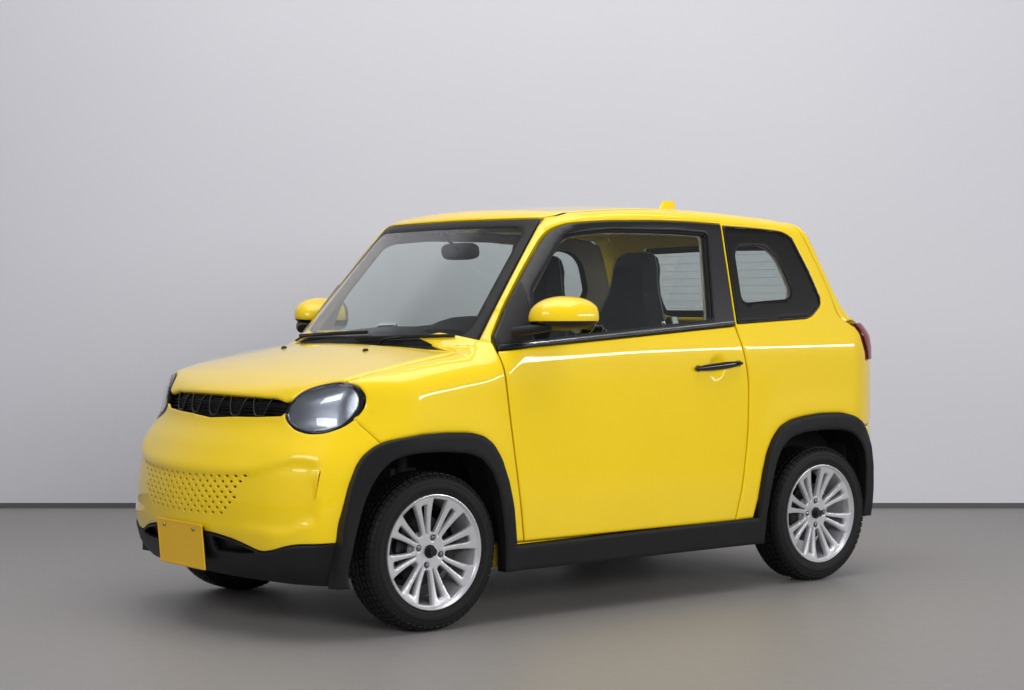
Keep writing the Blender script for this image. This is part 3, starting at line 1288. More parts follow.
def buildGlass():
    screen = mirroredRound(array([(0, 1002), (605, 1004), (510, 1483), (0, 1484)]))
    clear = rounded(mirroredRound(array([(0, 1034), (556, 1034), (474, 1450), (0, 1452)])), 46)
    place = fromFront("cabin")
    pane = panel("screen_pane", screenGlass, clear, place, sideField, spacing=30, rims=(), lift=-3.5,
        thickness=5)
    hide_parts("windscreen")
    panel("screen_frit", fritBlack, inset(rounded(screen, 14), 2), place, sideField, holes=[clear],
        spacing=20, rims=(1.2,), roll=0.8, lift=-3, thickness=6)
    rear = rounded(mirroredRound(array(outlines["rearWindow"])), 40)
    place = fromFront("cabin", 0.0, -1.0)
    clearRear = rounded(inset(rear, 34), 30)
    pane = panel("rear_pane", sideGlass, clearRear, place, sideField, spacing=30, rims=(), lift=-5.5,
        thickness=4, body="tailgate")
    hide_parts("rear_glass")
    panel("rear_frit", fritBlack, inset(rear, 3), place, sideField, holes=[clearRear], spacing=20,
        rims=(1.2,), roll=0.8, lift=-5, thickness=5, body="tailgate")
    clear = rounded(outlines["quarterClear"], 38)
    quarter = inset(rounded(outlines["quarter"], 24), 3.5)
    made = sidePanel("quarter_pane", sideGlass, clear, spacing=26, rims=(), lift=-2.5, thickness=4)
    replacesPair(made, "quarter_glass_")
    sidePanel("quarter_frit", fritBlack, inset(quarter, 5), holes=[clear], spacing=18, rims=(1.2,),
        roll=0.8, lift=-2, thickness=5)
    sidePanel("quarter_trim", satinBlack, quarter, holes=[inset(quarter, 6)], spacing=14, rims=(1.2,),
        roll=1.4, lift=0.5, thickness=9)
    rearEdge = array([(-987, 1436), (-1066, 1290), (-1112, 1180)])
    sidePanel("quarter_edge", brightStrip, resampled(strip(rearEdge + [5, 0], -3), 10), spacing=8, rims=(),
        lift=1.2, thickness=3)


def buildDoorFrames():
    top = softOpen(outlines["doorTop"], [20] + [60] * 7 + [20, 0])
    line = np.concatenate([[(616, 988), (615, 1034)], top[1:], [(-583, 1070)]])
    opening = rounded(outlines["window"], 22)
    sidePanel("window_frame", satinBlack, line, holes=[opening], spacing=15, rims=(1.2, 3, 6), roll=3,
        lift=0.5, thickness=38, body="door_SIDE")
    sidePanel("window_seal", rubber, inset(opening, -1), holes=[inset(opening, 8)], spacing=14, rims=(1.5,),
        roll=1.5, lift=-7, thickness=22, body="door_SIDE")
    pane = sidePanel("door_pane", sideGlass, inset(opening, 4), spacing=30, rims=(), lift=-14, thickness=4,
        body="door_SIDE")
    replacesPair(pane, "door_glass_")
    low = lineUp([(613, 989), (-581, 1071)], 40)
    belt = np.concatenate([low, lineUp([(-579, 1090), (474, 1018), (612, 1006)], 40)])
    sidePanel("belt_moulding", satinBlack, belt, spacing=12, rims=(1.2, 3), roll=2.2, lift=4, thickness=8,
        body="door_SIDE")
    bright = np.concatenate([low + [0, 12], lineUp([(-579, 1087), (612, 1005)], 40)])
    bright = bright[(bright[:, 0] < 560)]
    sidePanel("belt_bright", brightStrip, bright, spacing=9, rims=(), lift=5.2, thickness=3,
        body="door_SIDE")
    sail = rounded([(613, 1002), (604, 1038), (528, 1146), (452, 1240), (482, 1024)], 8)
    sidePanel("mirror_sail", rubber, sail, spacing=14, rims=(1.2, 3), roll=2, lift=3.5, thickness=8,
        body="door_SIDE", slot="gloss_black")


mirror = {"centre": (412, 802, 1106), "half": (132, 98, 78), "low": 0.62, "tilt": 8}


def mirrorRing(height, scale=1.0):
    # a level ring of the mirror head at a height from -1 to 1, flat where the glass is
    t = circle(36)
    width = np.maximum(1 - abs(height) ** 2.3, 0) ** (1 / 2.3) * scale
    a, b, c = mirror["half"]
    x = np.sign(np.cos(t)) * np.abs(np.cos(t)) ** 0.86 * a * width
    y = np.sign(np.sin(t)) * np.abs(np.sin(t)) ** 0.86 * b * width
    x = np.maximum(x, -a * 0.62)
    centre = array(mirror["centre"])
    x = x - 12 * np.clip(y / b, -1, 1) ** 2 * (y > 0)
    tilt = radians(mirror["tilt"])
    z = height * c - np.clip(-y / b, 0, 1) * 10
    z = np.where(z < 0, z * mirror["low"], z)
    return np.stack([centre[0] + x * cos(tilt) - y * sin(tilt), centre[1] + y, centre[2] + z], 1)


def buildMirrors():
    split = -0.34
    cap = [mirrorRing(h) for h in np.concatenate([[split], np.linspace(split + 0.02, 0.9, 14),
        [0.97, 0.995]])]
    made = loft("mirror_cap", yellow, cap, "door_SIDE", sides=both)
    replacesPair(made, "door_mirror_")
    shell = [mirrorRing(h, 0.985) for h in np.concatenate([[-0.995, -0.96], np.linspace(-0.88, split - 0.05,
        9)])]
    loft("mirror_shell", trimBlack, shell, "door_SIDE", sides=both)
    strip_ = [mirrorRing(h, 1.012) for h in (split - 0.05, split + 0.07)]
    loft("mirror_indicator", glossBlack, strip_, "door_SIDE", sides=both)
    centre = array(mirror["centre"])
    a, b, c = mirror["half"]
    glass = [ovalRing((centre[0] - a * 0.62 - d, centre[1] + 2, centre[2]), (0, 1, 0), (0, 0, 1), b * s,
        c * s, 30, 2.6) for d, s in ((0, 0.8), (1.2, 0.8), (1.6, 0.77))]
    loft("mirror_glass", mirrorGlass, glass, "door_SIDE", sides=both)
    foot = [(566, 706, 1052), (556, 728, 1056), (540, 752, 1060), (515, 780, 1066), (480, 800, 1072)]
    bar("mirror_arm", trimBlack, foot, (26, 26, 30, 36, 40), (18, 18, 18, 18, 16), "door_SIDE", square=3,
        sides=both, count=16)


handle = {"from": -330, "to": -589, "z": (901, 919), "stand": 20}


def buildHandles():
    count = 22
    s = np.linspace(0, 1, count)
    x = handle["from"] + (handle["to"] - handle["from"]) * s
    z = handle["z"][0] + (handle["z"][1] - handle["z"][0]) * s
    base = onSide(np.stack([x, z], 1))
    swell = np.sin(pi * np.clip(s, 0.02, 0.98)) ** 0.45
    path = base + outward(sideField, base) * (6 + (handle["stand"] - 6) * swell)[:, None]
    made = bar("handle_grip", glossBlack, path, 3 + 6 * swell, 3 + 12 * swell, "door_SIDE", sides=both,
        count=16)
    replacesPair(made, "door_handle_")
    for label, spot in (("front", 0.07), ("rear", 0.93)):
        p = onSide([(handle["from"] + (handle["to"] - handle["from"]) * spot, handle["z"][0]
            + (handle["z"][1] - handle["z"][0]) * spot)])
        n = outward(sideField, p)[0]
        bar("handle_foot_" + label, glossBlack, [p[0] - n * 4, p[0] + n * 4, p[0] + n * 13], 12, 8,
            "door_SIDE", up=(1, 0, 0), square=3, sides=both)
    p = onSide([(-566, 919)])
    n = outward(sideField, p)[0]
    rings = [ovalRing(p[0] + n * d, (1, 0, 0), (0, 0, 1), r, r, 20) for d, r in ((24, 5.2), (29.5, 5.2),
        (30.5, 4.2))]
    loft("handle_lock", satinBlack, rings, "door_SIDE", "alloy", sides=both)


def buildTopPieces():
    # the cowl, washer nozzles, wipers, the lip over the rear window and the aerial
    cowl = mirroredOutline(array([(846, 0), (836, 250), (796, 474), (754, 588), (700, 610), (690, 560),
        (742, 300), (760, 0)]))
    panel("cowl", trimBlack, cowl, fromBelow("both"), wholeField, spacing=18, rims=(), lift=-15,
        thickness=4)
    for side, label in ((1, "left"), (-1, "right")):
        p = onTop([(928, side * 281)])[0]
        rings = [ovalRing(p + array((0, 0, d)), (1, 0, 0), (0, 1, 0), r * 1.4, r, 16) for d, r in ((-4, 9),
            (3, 9), (7, 7), (9, 4))]
        loft("washer_nozzle_" + label, satinBlack, rings, "bonnet")
    for k, (start, end) in enumerate((((-470, 1022), (70, 1042)), ((30, 1018), (520, 1034)))):
        ys = np.linspace(start[0], end[0], 18)
        zs = np.linspace(start[1], end[1], 18)
        blade = along(np.stack([ys, zs], 1), 8, "cabin")
        piece = bar("wiper_blade_%d" % (k + 1), rubber, blade, 5, 7, count=8)
        middle = blade[9]
        pivot = along([(start[0] - 10 + 180 * k, 1004)], 6, "cabin")[0]
        elbow = pivot + (middle - pivot) * 0.25 + array((10, 0, 10))
        bar("wiper_arm_%d" % (k + 1), trimBlack, resampledOpen([pivot, elbow, middle], 20), 6, 4, count=8)
        if k == 0:
            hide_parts("wipers")
    rings = []
    for y in np.linspace(-520, 520, 25):
        drop = 6 * abs(y / 520) ** 3
        end = (1 - abs(y / 520) ** 8) ** 0.5
        top = onTop([(-1012, y * 0.98)], "cabin")[0]
        z = top[2] + 3 - drop
        rings.append([(-1010, y, z - 14), (-1010, y, z), (-1042, y, z - 3), (-1040 - 42 * end, y, z - 11),
            (-1039 - 42 * end, y, z - 17), (-1046, y, z - 36)])
    loft("roof_lip", yellow, rings, "tailgate", smooth=45)
    rings = []
    for s in np.linspace(0, 1, 9):
        low, high = array((-768, -915)), array((-838, -908))
        front, back = low + (high - low) * s
        z = 1512 + 96 * s
        half = 15 * (1 - s) ** 0.8 + 3.5
        rings.append(ovalRing(((front + back) / 2, 0, z), (1, 0, 0), (0, 1, 0), (front - back) / 2, half,
            20, 2.2))
    fin = loft("aerial_fin", yellow, rings)
    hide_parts("antenna_fin")


buildGlass()
buildDoorFrames()
buildMirrors()
buildHandles()
buildTopPieces()
print("glass and doors made")

# wheels

wheel = {
    "pairs": 8, "pairAngle": 12, "faceRadius": 199, "hubFace": 46, "rimFace": 72, "spokeDepth": 20,
    "nuts": 4, "nutRing": 50, "nutAngle": -16.6, "treadBlocks": 64,
}
# columns: body, x, y, z, side, spin in degrees
wheelPlaces = [("wheel_%s_%s" % (end, hand), car[end + "AxleX"], side * car["wheelY"], car["axleZ"], side,
    spin) for end, hand, side, spin in (("front", "left", 1, 0), ("front", "right", -1, 31),
    ("rear", "left", 1, 16.6), ("rear", "right", -1, 52))]


def faceDepth(r):
    return wheel["hubFace"] + (wheel["rimFace"] - wheel["hubFace"]) * (r / wheel["faceRadius"]) ** 1.7


def polar(r, degrees_, offset=0.0):
    # x and z of a point at a radius, an angle from straight up and a sideways offset
    a = radians(degrees_)
    return (r * sin(a) + offset * cos(a), r * cos(a) - offset * sin(a))


def wheelHoles():
    holes = []
    step_ = 360 / wheel["pairs"]
    pairHalf = [(66, 18), (90, 21), (120, 26), (150, 33), (184, 43)]  # columns: radius, half width
    slotHalf = [(62, 1.6), (90, 4.2), (125, 8.2), (155, 11.5), (170, 12)]
    for k in range(wheel["pairs"]):
        here = wheel["pairAngle"] + k * step_
        left = [polar(r, here, w) for r, w in pairHalf]
        right = [polar(r, here + step_, -w) for r, w in pairHalf[::-1]]
        a0, a1 = (degrees(atan2(p[0], p[1])) for p in (left[-1], right[0]))
        a1 += 360 if a1 < a0 else 0
        far = [polar(187, a) for a in np.linspace(a0, a1, 7)[1:-1]]
        holes.append(rounded(left + far + right, 7))
        holes.append(rounded([polar(r, here, w) for r, w in slotHalf] + [polar(r, here, -w)
            for r, w in slotHalf[::-1]], 6))
    for k in range(wheel["nuts"]):
        x, z = polar(wheel["nutRing"], wheel["nutAngle"] + k * 90)
        holes.append([(x + 11.5 * cos(t), z + 11.5 * sin(t)) for t in circle(20)])
    return holes


def spun(verts, spin):
    a = radians(spin)
    turn = array([[cos(a), 0, sin(a)], [0, 1, 0], [-sin(a), 0, cos(a)]])
    return np.array(verts, float) @ turn.T


def buildWheels():
    t = circle(120)
    outline = np.stack([wheel["faceRadius"] * np.cos(t), wheel["faceRadius"] * np.sin(t)], 1)
    flat, depth, tris = sheetMesh(outline, wheelHoles(), 9, (1.2, 2.8, 5.0))
    r = np.hypot(flat[:, 0], flat[:, 1])
    rise = -4.2 * np.clip(1 - depth / 5.0, 0, 1) ** 2
    inner = r < 64
    rise[inner] *= 0.5
    verts = np.stack([flat[:, 0], faceDepth(r) + rise, flat[:, 1]], 1)
    up = np.tile([0.0, 1.0, 0.0], (len(verts), 1))
    a, b, c = (verts[tris[:, k]] for k in range(3))
    if np.cross(b - a, c - a)[:, 1].sum() < 0:
        tris = tris[:, ::-1]
    closed, faces = thickened(verts, tris, up, wheel["spokeDepth"] + rise)
    made = copies("rim_face", alloySilver, closed, faces, wheelPlaces)
    for obj in made:
        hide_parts("rim_" + obj.name.replace("rim_face_", ""))
    barrel = [(77, 199), (80, 201.5), (79.5, 204), (74, 205), (66, 200), (56, 194), (16, 188), (-36, 184),
        (-60, 194), (-68, 204), (-74, 204), (-76, 200), (-68, 188), (-44, 180), (14, 182), (60, 188),
        (72, 194)]
    lathe("rim_barrel", alloySilver, barrel, 108)
    cap = [(52, 0.5), (52, 21), (50.5, 23.5), (46, 24), (40, 24), (40, 0.5)]
    lathe("rim_cap", trimBlack, cap, 40)
    hexagon = [(13, 8.6), (23, 8.6), (25.5, 6.2), (26.5, 3)]
    nutVerts = [(size * cos(a), y, size * sin(a)) for y, size in hexagon for a in circle(6)]
    nutFaces = ringFaces(4, 6, ends=False) + [tuple(range(18, 24))[::-1], tuple(range(6))]
    points = [polar(wheel["nutRing"], wheel["nutAngle"] + k * 90) for k in range(wheel["nuts"])]
    nuts = repeat("wheel_nuts_pattern", [(x, 24, z) for x, z in points],
        [(0, 0.4 * k, 0) for k in range(4)], (nutVerts, nutFaces), zincBolt, smooth=25)
    spread(nuts, "wheel_nuts", zincBolt, 25)
    back = [(26, 0.5), (26, 66), (20, 70), (8, 72), (8, 0.5)]
    lathe("rim_hub", alloySilver, back, 60)


def spread(pattern, name, material, smooth):
    # a pattern made at the origin, given to each wheel
    mesh = pattern.data
    verts = np.array([v.co[:] for v in mesh.vertices]) / mm
    faces = [tuple(p.vertices) for p in mesh.polygons]
    bpy.data.objects.remove(pattern)
    return copies(name, material, verts, faces, wheelPlaces, smooth)


def treadShape(length, width, height, lean=0.0):
    # a block with its top edges worn round; Z is outward from the axle
    rings = []
    for z, shrink in ((-4, 0), (height - 0.8, 0), (height, 0.9)):
        l, w = length / 2 - shrink, width / 2 - shrink
        rings += [(-l + lean * w, -w, z), (l + lean * w, -w, z), (l - lean * w, w, z),
            (-l - lean * w, w, z)]
    return rings, ringFaces(3, 4)


def buildTyres():
    half = [(0, 276), (9, 276), (9.5, 273.5), (13, 273.5), (13.5, 276), (36, 275.6), (36.5, 273),
        (40.5, 273), (41, 275.4), (58, 273.6), (66, 270.8), (72.5, 265.5), (77.5, 257.5), (80.2, 250),
        (80.6, 247), (79.6, 246), (79.8, 244), (81.2, 243), (82.2, 236), (81.6, 226), (80.4, 221),
        (79.2, 220.4), (79, 218.4), (79.9, 217.8), (78.6, 211), (75.6, 206.5), (72.2, 204.6), (71, 202),
        (66, 198), (60, 192), (0, 190)]
    profile = half + [(-y, r) for y, r in half[-2:0:-1]]
    made = lathe("tyre_carcass", tyreRubber, profile, 120, smooth=50)
    for obj in made:
        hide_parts("tyre_" + obj.name.replace("tyre_carcass_", ""))
    count = wheel["treadBlocks"]
    pitch = 2 * pi * 276 / count
    for name, y, width, length, lean, shift, radius in (("inner", -24.8, 19.5, 0.78, 0.30, 0.2, 275.7),
            ("outer", 24.8, 19.5, 0.78, -0.30, 0.6, 275.7), ("rim_inner", -51, 17.5, 0.8, -0.18, 0, 273.6),
            ("rim_outer", 51, 17.5, 0.8, 0.18, 0.45, 273.6), ("centre", 0, 16, 0.86, 0.1, 0.9, 276.2)):
        angles = (np.arange(count) + shift) * 2 * pi / count
        points = [(radius * sin(a), y, radius * cos(a)) for a in angles]
        pattern = repeat("tread_pattern", points, [(0, a, 0) for a in angles], treadShape(pitch * length,
            width, 281 - radius - (1.6 if "rim" in name else 0.3), lean), tyreRubber, smooth=20)
        spread(pattern, "tread_" + name, tyreRubber, 20)
    angles = (np.arange(count) + 0.45) * 2 * pi / count
    tilt = 0.62
    for name, way in (("outer", 1), ("inner", -1)):
        points = [(266.2 * sin(a), way * 69.5, 266.2 * cos(a)) for a in angles]
        verts, faces = treadShape(pitch * 0.74, 15, 4.6)
        verts = [(x, way * (y * cos(tilt) + z * sin(tilt)), -y * sin(tilt) + z * cos(tilt))
            for x, y, z in verts]
        faces = [face[::way] for face in faces]
        pattern = repeat("shoulder_pattern", points, [(0, a, 0) for a in angles], (verts, faces),
            tyreRubber, smooth=20)
        spread(pattern, "shoulder_" + name, tyreRubber, 20)


def buildBrakes():
    disc = [(6, 60), (6, 118), (0, 118), (0, 122), (-4, 122), (-4, 118), (-10, 118), (-10, 60)]
    lathe("brake_disc", discSteel, disc, 72)
    hat = [(20, 20), (20, 58), (14, 61), (-6, 61), (-6, 20)]
    lathe("brake_hat", castIron, hat, 60)
    for name, bodies, start, end in (("front", ("knuckle_left", "knuckle_right"), 236, 292),
            ("rear", ("root", "root"), 62, 112)):
        rings = []
        for a in np.linspace(radians(start), radians(end), 12):
            edge = 1 - abs((degrees(a) - (start + end) / 2) / ((end - start) / 2)) ** 6 * 0.3
            middle = 104 + 2 * edge
            wide, high = 30 * edge, 25 * edge
            ring = ovalRing((0, 3, 0), (0, 1, 0), (1, 0, 0), high, wide, 16, 4)
            rings.append([((middle + p[0]) * sin(a), p[1], (middle + p[0]) * cos(a)) for p in ring])
        verts = array(rings).reshape(-1, 3)
        faces = ringFaces(len(rings), len(rings[0]))
        for side, body in zip(both, bodies):
            label = "caliper_%s_%s" % (name, "left" if side > 0 else "right")
            place = (body, car[name + "AxleX"], side * car["wheelY"], car["axleZ"], side, 0)
            copies(label, castIron, verts, faces, [place])


buildTyres()
buildWheels()
buildBrakes()
print("wheels made")

# cabin: linings, dash, seats, and the finish of the CAD pieces that show

def paintNodes(material, *names):
    for name in names:
        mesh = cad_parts[name].data
        mesh.materials.clear()
        mesh.materials.append(material)


def buildLinings():
    # pressed steel behind the outer skins, then beige mouldings with rounded openings, and door cards
    opening = inset(rounded(outlines["window"], 40), 9)
    top = softOpen(outlines["doorTop"], [20] + [60] * 7 + [20, 0])
    frameLine = inset(np.concatenate([[(602, 990), (603, 1032)], top[1:], [(-583, 1074)]]), 5)
    sidePanel("door_frame_lining", cabinBeige, frameLine, holes=[opening], spacing=18, rims=(1.5, 4),
        roll=2.5, lift=-37.6, thickness=7, body="door_SIDE")
    card = rounded([(478, 300), (478, 1000), (-570, 1064), (-626, 860), (-622, 640), (-594, 430),
        (-560, 300)], 14)
    sidePanel("door_steel", yellow, card, spacing=26, rims=(1.5, 4), roll=2.5, lift=-36.6, thickness=36,
        body="door_SIDE")
    sidePanel("door_card", cabinBlack, inset(card, 12), spacing=22, lift=-73, thickness=8, body="door_SIDE")
    pocket = rounded([(360, 330), (380, 470), (-300, 480), (-330, 330)], 30)
    sidePanel("door_pocket", cabinBlack, pocket, spacing=22, roll=5, lift=-81.5, thickness=7,
        body="door_SIDE")
    bar("door_armrest", seatVinyl, [(200, 618, 740), (120, 612, 736), (-60, 608, 738), (-240, 612, 748),
        (-300, 618, 752)], [12, 19, 21, 19, 12], [14, 22, 24, 22, 14], "door_SIDE", square=3, sides=both)
    bar("door_pull", satinBlack, [(300, 617, 860), (285, 612, 858), (225, 611, 850), (210, 617, 848)], 7,
        10, "door_SIDE", sides=both)
    quarterHole = inset(rounded(outlines["quarterClear"], 46), -9)
    side = [(-592, 1076), (-590, 1470), (-792, 1462), (-934, 1452), (-976, 1430), (-1056, 1288),
        (-1150, 1090), (-1010, 1088)]
    sidePanel("quarter_lining", cabinBeige, side, holes=[quarterHole], spacing=18, rims=(1.5, 4), roll=2.5,
        lift=-31, thickness=6)
    low = [(-592, 1062), (-649, 860), (-645, 640), (-615, 430), (-582, 300), (-714, 300), (-732, 420),
        (-776, 560), (-832, 702), (-1100, 716), (-1220, 800), (-1220, 1000), (-1010, 1082)]
    sidePanel("quarter_steel", yellow, low, spacing=30, rims=(1.5,), roll=1, lift=-30.6, thickness=50)
    sidePanel("quarter_trim_inner", cabinBlack, inset(array(low), 3), spacing=24, rims=(1.5, 4), roll=3,
        lift=-81, thickness=6)
    box("rocker", yellow, (-560, 592, 192), (596, 684, 283), bevel=8, sides=both)
    box("hinge_post", yellow, (472, 500, 192), (598, 556, 1046), bevel=4, sides=both)
    edge = onFront(lineUp([(598, 1010), (508, 1470)], 60), "cabin")
    bar("pillar_trim", cabinBeige, edge + [-38, -14, -6], 20, 17, up=(1, 0, 0), square=3, sides=both)
    front = onFront(lineUp([(0, 1474), (500, 1472)], 60), "cabin")[:, :2]
    half = np.concatenate([front + [-44, 0], [(x, 520.0) for x in range(180, -990, -60)], [(-985, 0)]])
    panel("headliner", headlinerCloth, mirroredOutline(half), fromBelow("cabin"), sideField, spacing=40,
        rims=(1.5, 4), roll=3, lift=-24, thickness=5)
    rear = onFront([(0, 1084), (480, 1084), (530, 900), (540, 690), (0, 690)], "cabin", -1)
    panel("tailgate_lining", cabinBlack, mirroredOutline(toArc(rear, tailArc)), arched("cabin", **tailArc),
        sideField, spacing=30, roll=5, lift=-30, thickness=20, body="tailgate")
    box("sun_visor", cabinBeige, (110, 95, 1449), (262, 455, 1463), bevel=6, segments=3, sides=both,
        turn=("Y", 12))
    points, turns = [], []
    for z in range(1136, 1412, 34):
        reach = 440 + (z < 1300) * 20
        line = onFront([(y, z) for y in range(-reach, reach + 1, 20)], "cabin", -1)
        for a, b in zip(line, line[1:]):
            points.append((a + b) / 2 + [15, 0, 1])
            turns.append((0, 0, np.arctan2(-(b - a)[0], (b - a)[1])))
    lines = repeat("defroster_lines", points, turns, shapeBox((0.4, 21, 0.9)), threadGrey)
    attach(lines, "tailgate")


def shapeBox(size):
    # a plain block about the origin, as vertices and faces
    a, b, c = (s / 2 for s in size)
    verts = [(x, y, z) for x in (-a, a) for y in (-b, b) for z in (-c, c)]
    faces = [(0, 1, 3, 2), (4, 6, 7, 5), (0, 4, 5, 1), (2, 3, 7, 6), (0, 2, 6, 4), (1, 5, 7, 3)]
    return verts, faces


dash = {"half": 556, "top": 1064, "steps": 26}


def dashSection(y):
    # the dash's outline at a distance from the middle, from the windscreen's foot round to its own
    out = abs(y) / dash["half"]
    reach, top = 725 - 150 * out ** 2.2, dash["top"] - 34 * out ** 2
    return [(reach, 985 - 20 * out), (reach - 50, top - 44), (reach - 120, top - 12), (520, top + 2),
        (462, top), (430, top - 18), (408, top - 62), (402, top - 120), (412, top - 190), (440, top - 250),
        (440, top - 320), (470, top - 384), (520, top - 420), (588, top - 424), (590, 900), (612, 946),
        (reach - 30, 958)]


def buildDash():
    rings = []
    for y in np.linspace(-dash["half"], dash["half"], dash["steps"]):
        rings.append([(x, y, z) for x, z in dashSection(y)])
    body = loft("dash_moulding", cabinBlack, rings, smooth=50)
    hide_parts("dashboard")
    hood = [ovalRing((x, 300, z), (0, 1, 0), (0, 0, 1), wide, high, 28, 2.8)
        for x, z, wide, high in ((420, 1054, 150, 46), (436, 1058, 158, 50), (470, 1060, 166, 46),
        (520, 1056, 160, 36), (590, 1036, 140, 22))]
    loft("instrument_hood", cabinBlack, hood, smooth=50)
    box("instrument_glass", displayGlass, (416, 176, 1022), (420, 424, 1088), bevel=1.5, turn=("Y", -14))
    box("centre_screen", displayGlass, (392, -128, 912), (402, 128, 1036), bevel=5, segments=3,
        turn=("Y", -8))
    box("centre_stack", glossBlack, (404, -110, 776), (436, 110, 890), bevel=6, segments=3)
    box("console", cabinBlack, (150, -72, 222), (440, 72, 392), bevel=22, segments=4)
    bar("gear_lever", satinBlack, [(300, 0, 388), (292, 0, 440), (286, 0, 470)], [9, 9, 20], [9, 9, 20],
        up=(1, 0, 0))
    points, turns = [], []
    for y in (-490, -215, 190, 490):
        for z in range(936, 982, 8):
            points.append((400, y, z))
            turns.append((0, radians(24), 0))
        box("air_vent_" + str(y).replace("-", "right_"), glossBlack, (400, y - 58, 926), (436, y + 58, 988),
            bevel=8, segments=3)
    slats = repeat("air_vent_slats", points, turns, shapeBox((14, 104, 1.6)), satinBlack)
    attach(slats, "root")
    box("glove_lid", cabinBlack, (414, -520, 730), (446, -140, 850), bevel=7, segments=3)
    knob = [(0, 11), (0, 13), (-14, 12), (-16, 10), (-16, 0.1), (0, 0.1)]
    for i, y in enumerate((-60, 0, 60)):
        ring = [[(402 + d, y + r * cos(a), 830 + r * sin(a)) for a in circle(20)] for d, r in knob[:5]]
        loft("heater_knob_%d" % i, satinBlack, ring)


wheelHub = {"centre": (300, 300, 905), "axis": (0.8734, 0, -0.4871), "up": (0.4871, 0, 0.8734),
    "radius": 178}


def buildSteering():
    centre, axis, up = (array(wheelHub[k]) for k in ("centre", "axis", "up"))
    across = np.array([0.0, 1.0, 0.0])
    rings = []
    for a in circle(64):
        way = across * cos(a) + up * sin(a)
        rings.append(ovalRing(centre + way * wheelHub["radius"], way, axis, 14, 12.5, 14, 2.2))
    rings.append(rings[0])
    rim = loft("steering_rim", seatVinyl, rings, "steering_wheel", ends=False)
    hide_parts("steering_wheel")
    hub = [ovalRing(centre + axis * d, across, up, w, h, 32, 2.6) for d, w, h in ((-20, 40, 30),
        (-17, 62, 46), (-8, 74, 56), (6, 76, 58), (22, 60, 50), (38, 46, 44))]
    loft("steering_pad", cabinBlack, hub, "steering_wheel", smooth=50)
    for i, angle in enumerate((0, pi, -pi / 2)):
        way = across * cos(angle) + up * sin(angle)
        path = [centre + way * r + axis * (4 - 6 * (r > 120)) for r in (50, 90, 130, 168)]
        bar("steering_spoke_%d" % i, satinBlack, path, [26, 20, 15, 13], [9, 8, 7, 7], "steering_wheel",
            up=tuple(axis), square=2.6)
    shroud = [centre + axis * d for d in (50, 70, 120, 180)]
    bar("column_shroud", cabinBlack, shroud, [40, 50, 52, 50], [34, 44, 46, 44], square=3)
    for side in (-1, 1):
        foot = centre + axis * 62
        tip = foot + array((0, side * 158, 10)) - axis * 10
        bar("column_stalk_" + ("left" if side > 0 else "right"), cabinBlack,
            [foot + array((0, side * 36, 4)), (foot + tip) / 2, tip], [6, 6, 9], [6, 6, 9])


padding = {"pressure": 4.0, "reach": 8.0, "fill": 0.85}


def stuffed(obj, voxel):
    # a padded cover: Cloth pushed out by air from the shape it was cut to, and held near that shape
    remesh = obj.modifiers.new("remesh", "REMESH")
    remesh.mode, remesh.voxel_size = "VOXEL", voxel * mm
    flat = bpy.data.meshes.new_from_object(obj.evaluated_get(bpy.context.evaluated_depsgraph_get()))
    rest = np.array([v.co[:] for v in flat.vertices])
    cloth = obj.modifiers.new("cloth", "CLOTH")
    cloth.settings.use_pressure = True
    cloth.settings.uniform_pressure_force = padding["pressure"]
    cloth.settings.effector_weights.gravity = 0
    cloth.settings.quality = 4
    cloth.settings.tension_stiffness = cloth.settings.compression_stiffness = 25
    cloth.settings.bending_stiffness = 2
    cloth.point_cache.frame_start, cloth.point_cache.frame_end = 1, 20
    for frame_ in range(1, 21):
        scene.frame_set(frame_)
    blown = bpy.data.meshes.new_from_object(obj.evaluated_get(bpy.context.evaluated_depsgraph_get()))
    scene.frame_set(1)
    move = np.array([v.co[:] for v in blown.vertices]) - rest
    length = np.linalg.norm(move, axis=1)
    rest += move * np.minimum(1, padding["reach"] * mm / np.maximum(length, 1e-9))[:, None]
    flat.vertices.foreach_set("co", rest.ravel())
    flat.polygons.foreach_set("use_smooth", [True] * len(flat.polygons))
    obj.modifiers.clear()
    obj.data = flat
    return obj


def twin(obj, name):
    # the same padded piece on the car's other side
    mirrorPiece(obj, name, "root")


# columns: x, z, half width and half thickness up a front seat's back
seatBack = [(-200, 448, 150, 30), (-208, 462, 200, 50), (-222, 500, 222, 58), (-252, 610, 230, 58),
            (-300, 800, 230, 56), (-343, 970, 224, 52), (-370, 1080, 205, 48), (-386, 1150, 172, 44),
            (-394, 1200, 146, 42), (-398, 1250, 134, 41), (-402, 1310, 128, 38), (-405, 1350, 112, 32),
            (-406, 1368, 84, 20), (-406, 1375, 48, 8)]
# columns: x, z, half width and half thickness along its cushion
seatCushion = [(-262, 450, 170, 34), (-250, 452, 205, 50), (-210, 455, 224, 60), (-100, 458, 230, 62),
               (60, 466, 230, 62), (130, 472, 224, 58), (168, 472, 205, 48), (182, 470, 170, 30)]


def cushion(name, rows, y, voxel=6.0, **shape):
    # a padded piece along rows of x, z, half width and half thickness
    x, z, wide, high = zip(*rows)
    return stuffed(bar(name, seatCloth, [(a, y, b) for a, b in zip(x, z)], wide, high, **shape), voxel)


